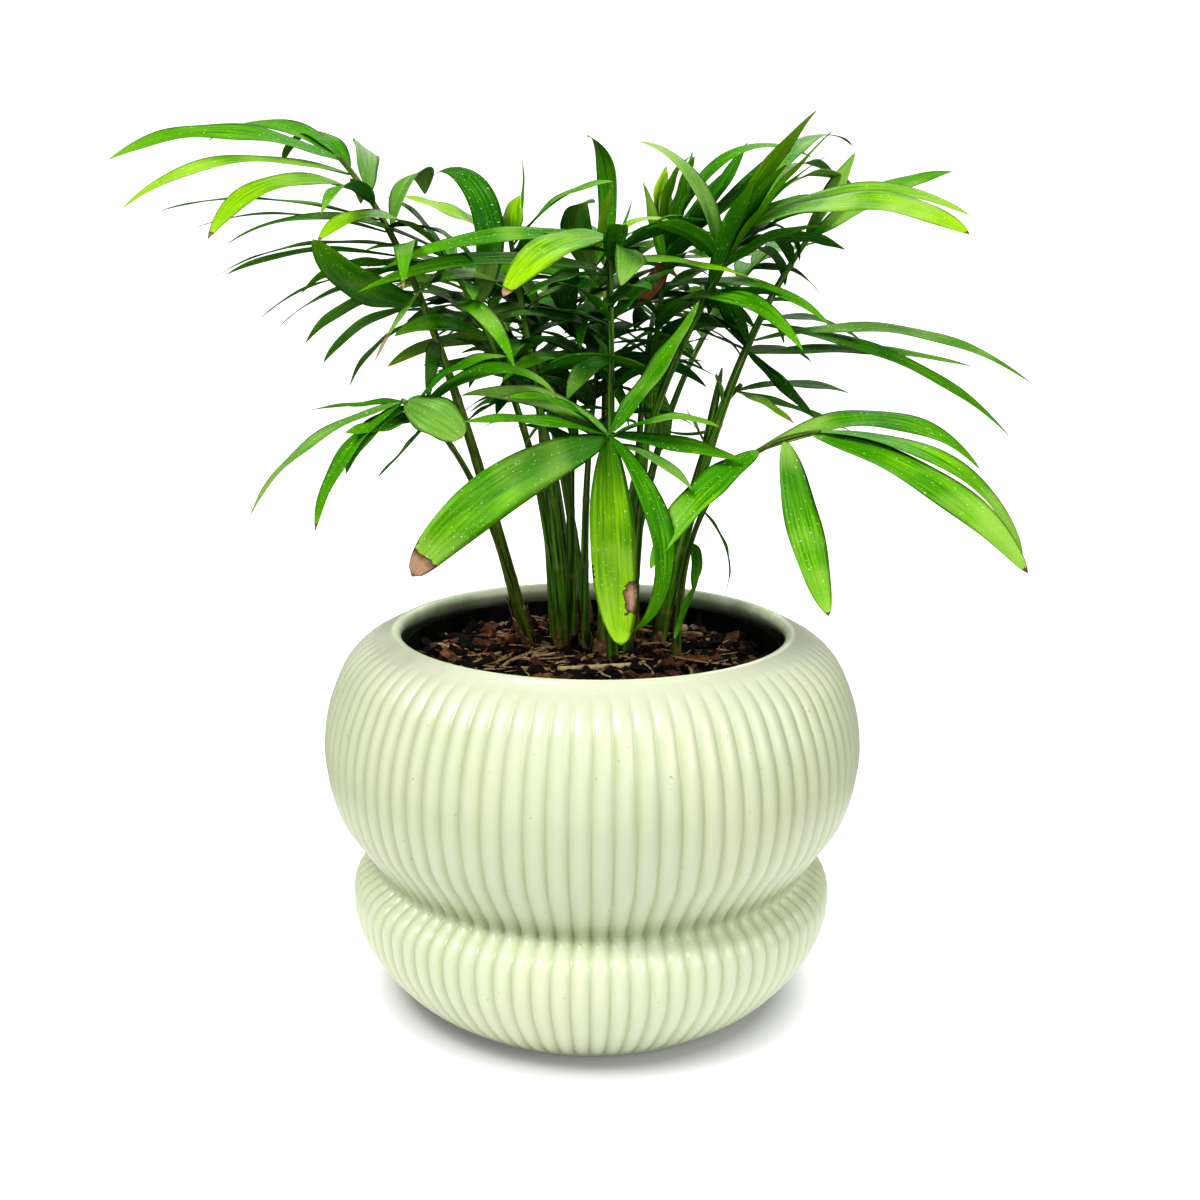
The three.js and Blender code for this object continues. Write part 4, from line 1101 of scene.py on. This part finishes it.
def leaf_finish(tone, low, high):
    """Parallel veins: a noise that changes fast across the blade and slowly along it, and
    the same veins raised a little. The root is darker and the tip lighter, soft pale patches
    are a painted sheen, pale specks of wax sit on top, and the blade is brown where the burn
    value and a noise pass a half."""
    shine = SHADE_SHINE if tone in ("mid", "deep") else SUN_SHINE
    leaf = Recipe("leaf_" + tone, low, Roughness=0.36, Specular_IOR_Level=shine)
    along = leaf.value("along")
    stretched = leaf.scaled(leaf.uv(), 13.0, 0.035, 1.0)
    vein = leaf.patches(1.0, 3.0, 0.36, 0.64, roughness=0.6, vector=stretched)
    cloudy = leaf.math("MULTIPLY", vein, leaf.patches(45.0, 3.0, 0.32, 0.7, 0.2, 1.1))
    leaf.paint(leaf.math("MULTIPLY", cloudy, leaf.between(along, 0.0, 0.5, 0.3, 1.0)), high)
    leaf.paint(leaf.between(along, 0.55, 1.0, 0.0, 0.45), [h * k for h, k in zip(high, LIGHT_TIP)])
    # painted highlight: soft pale patches that stand for the sheen of the lights on the blade
    painted_sheen = leaf.patches(26.0, 2.0, 0.53, 0.68, 0.0, 0.65)
    leaf.paint(painted_sheen, [0.5 * (h + p) for h, p in zip(high, PAINTED_SHEEN)])
    leaf.paint(leaf.patches(1450.0, 0.0, 0.77, 0.80, 0.0, 0.75), WAX_SPECK)
    ragged = leaf.math("ADD", leaf.value("burn"), leaf.patches(240.0, 4.0, 0.2, 0.8, -0.25, 0.25, 0.6))
    brown = leaf.mix(leaf.between(ragged, 0.5, 0.85), DARK_BURN, PALE_BURN)
    leaf.paint(leaf.between(ragged, 0.47, 0.51), brown)
    return leaf.finished(vein, 0.00018, 0.55)


LEAF_MATERIALS = {tone: leaf_finish(tone, *pair) for tone, pair in TONES.items()}
print("tones:", ", ".join(TONES))

# %% Fronds
LEAF_COLS = len(SECTION)
SHRIVEL = 0.08  # share of the length over which a dry tip goes from green to dead
TORN = {"centre_front": (1, 0.77, 0.8)}  # a brown patch: leaflet, share along it, place across


def tone_of_faces(rows):
    """The material number of each face: all faces of a leaflet have its tone. The quads of
    all leaflets come first, then the triangles at their ends."""
    tone = np.array([list(TONES).index(row[8]) for row in rows], np.int32)
    return np.concatenate([np.repeat(tone, (LEAF_RINGS - 2) * LEAF_COLS), np.repeat(tone, 2 * LEAF_COLS)])


def burn_of_points(name, rows, across, along):
    """How dry each point is: a ramp that passes a half where the dry tip starts, and on a
    torn leaflet also a round hill exp(-d^2) about one place on its margin."""
    start = 1 - np.array([row[9] for row in rows])[:, None]
    burn = np.clip(0.5 + (along[None] - start) / SHRIVEL, 0, 1) * (start < 1)
    if name in TORN:
        leaflet, far, wide = TORN[name]
        hill = np.exp(-((along - far) / 0.11) ** 2 - ((across - wide) / 0.6) ** 2)
        burn[leaflet] = np.maximum(burn[leaflet], 0.95 * hill)
    return burn.ravel()


triangles = 0
for seed, (name, rows) in enumerate(GROWN.items()):
    points = leaflet_points(name, rows, 700 + seed)
    count = len(rows)
    piece = new_piece("leaves_" + name, points.reshape(-1, 3), tube_faces(LEAF_RINGS - 1, LEAF_COLS, count),
                      ["frond_" + name])
    across = np.append(np.tile(SECTION, LEAF_RINGS - 1), (0, 0))
    along = np.append(np.repeat(np.arange(1, LEAF_RINGS) / LEAF_RINGS, LEAF_COLS), (0, 1))
    reach = np.array([row[4] for row in rows])[:, None]
    shift = np.arange(count)[:, None] * 1.7  # so that no two leaflets have the same veins
    give_uv(piece, ((across[None] + 1) / 2 + shift).ravel(), (along[None] * reach + 40 * shift).ravel())
    give_value(piece, "along", np.tile(along, count))
    give_value(piece, "burn", burn_of_points(name, rows, across, along))
    for material in LEAF_MATERIALS.values():
        piece.data.materials.append(material)
    piece.data.polygons.foreach_set("material_index", tone_of_faces(rows))
    triangles += count * 2 * (LEAF_RINGS - 1) * LEAF_COLS
print("leaf triangles:", triangles)

# %% [markdown]
# The palm is shown on a pale floor that melts into a bright, even studio. The floor glows a
# little, less so right under the pot, where the weaker glow paints a soft shadow, and its far
# part, the backdrop, lights nothing else.
# Large soft lights above and to both sides keep the shadows weak, and one stronger light
# from the upper left makes the top leaves shine.

# %% Floor
# GLOW_SHADE is the weak glow under the pot that paints a soft contact shadow
GLOW_SHADE, GLOW_NEAR, GLOW_FAR = 0.1, 0.82, 0.97
SHADE_SPAN, GLOW_SPAN = (0.078, 0.101), (0.13, 1.2)  # metres from the middle
FLOOR_HUB, NEAR_FLOOR, FLOOR_REACH = 4.0, 260.0, 3200.0
FLOOR_LOW, WALL_RISE, WALL_START = -0.05, 2600, 0.6
FLOOR_COLS = 96
FLOOR_GREY = (0.35, 0.35, 0.35)

white = Recipe("floor_white", FLOOR_GREY, Base_Color=(*FLOOR_GREY, 1), Roughness=0.9,
               Specular_IOR_Level=0.0, Emission_Color=(1, 1, 1, 1))
distance = white.node("VectorMath", operation="LENGTH", Vector=white.place).outputs["Value"]
glow = white.between(distance, *GLOW_SPAN, GLOW_NEAR, GLOW_FAR)
# painted shadow: the glow falls to GLOW_SHADE right under the pot
under = white.between(distance, *SHADE_SPAN, GLOW_SHADE / GLOW_NEAR, 1.0)
white.put(white.math("MULTIPLY", glow, under), white.shader.inputs["Emission Strength"])


def stage_piece(name, inner, outer, steps):
    """Rings of a floor that curves up into a wall beyond 60% of its reach. The innermost
    floor is closed in the middle."""
    r = np.linspace(inner, outer, steps)[:, None]
    z = WALL_RISE * np.clip((r / FLOOR_REACH - WALL_START) / (1 - WALL_START), 0, 1) ** 2
    a = np.arange(FLOOR_COLS) * 2 * np.pi / FLOOR_COLS
    rings = np.stack([r * np.cos(a), r * np.sin(a), z + 0 * a + FLOOR_LOW], -1).reshape(-1, 3)
    faces = [round_quads(steps, FLOOR_COLS)[:, ::-1]]
    if inner == FLOOR_HUB:
        here = np.arange(FLOOR_COLS)
        faces.append(np.column_stack([here, (here + 1) % FLOOR_COLS, np.full(FLOOR_COLS, len(rings))]))
        rings = np.vstack([rings, (0, 0, FLOOR_LOW)])
    made = new_object(name, rings, faces)
    made.data.materials.append(white.material)
    return made


stage_piece("floor", FLOOR_HUB, NEAR_FLOOR, 8)
backdrop = stage_piece("backdrop", NEAR_FLOOR, FLOOR_REACH, 24)
backdrop.visible_diffuse = False
backdrop.visible_glossy = False
print("floor reach:", FLOOR_REACH * MM, "m")

# %% Lights
LIGHTS = {  # place and aim in metres, size, watts, colour
    "key_light": ((-0.7, -0.8, 1.5), (0, 0, 0.2), 0.5, 22, (1.0, 0.99, 0.95)),
    "fill_right": ((1.1, -1.0, 1.0), (0, 0, 0.12), 1.2, 16.5, (1, 1, 1)),
    "fill_left": ((-1.25, -0.75, 0.3), (0, 0, 0.08), 1.2, 4, (1, 1, 1)),
    "fill_front": ((0.0, -1.5, 0.25), (0, 0, 0.06), 1.2, 3.5, (1, 1, 1)),
    "back_light": ((0.3, 1.3, 1.3), (0, 0, 0.3), 1.0, 6, (1, 1, 1)),
}
for name, (place, aim, size, watts, colour) in LIGHTS.items():
    lamp = bpy.data.lights.new(name, "AREA")
    lamp.size, lamp.energy, lamp.color = size, watts, colour
    light = bpy.data.objects.new(name, lamp)
    light.location = place
    light.rotation_euler = (Vector(aim) - Vector(place)).to_track_quat("-Z", "Y").to_euler()
    bpy.context.scene.collection.objects.link(light)

world = bpy.data.worlds.new("studio")
world.use_nodes = True
world.node_tree.nodes["Background"].inputs["Color"].default_value = (1, 1, 1, 1)
world.node_tree.nodes["Background"].inputs["Strength"].default_value = 0.2
bpy.context.scene.world = world
bpy.context.scene.view_settings.view_transform = "Standard"
bpy.context.scene.view_settings.look = "Medium High Contrast"
print("lights:", len(LIGHTS))

# %% Camera
CAMERA_PLACE = (0, -0.6084, 0.3069)
LENS, SENSOR, SHIFT_X = 45.87, 36.0, 0.0054
PITCH, ROLL = 13.1, 0.5  # degrees down, and degrees that it is tipped sideways

camera_data = bpy.data.cameras.new("camera")
camera_data.sensor_width, camera_data.lens = SENSOR, LENS
camera_data.shift_x = SHIFT_X
camera = bpy.data.objects.new("camera", camera_data)
camera.location = CAMERA_PLACE
looks = Matrix.Rotation(np.radians(90 - PITCH), 3, "X") @ Matrix.Rotation(np.radians(ROLL), 3, "Z")
camera.rotation_euler = looks.to_euler()
bpy.context.scene.collection.objects.link(camera)
bpy.context.scene.camera = camera
print("lens:", LENS, "mm")
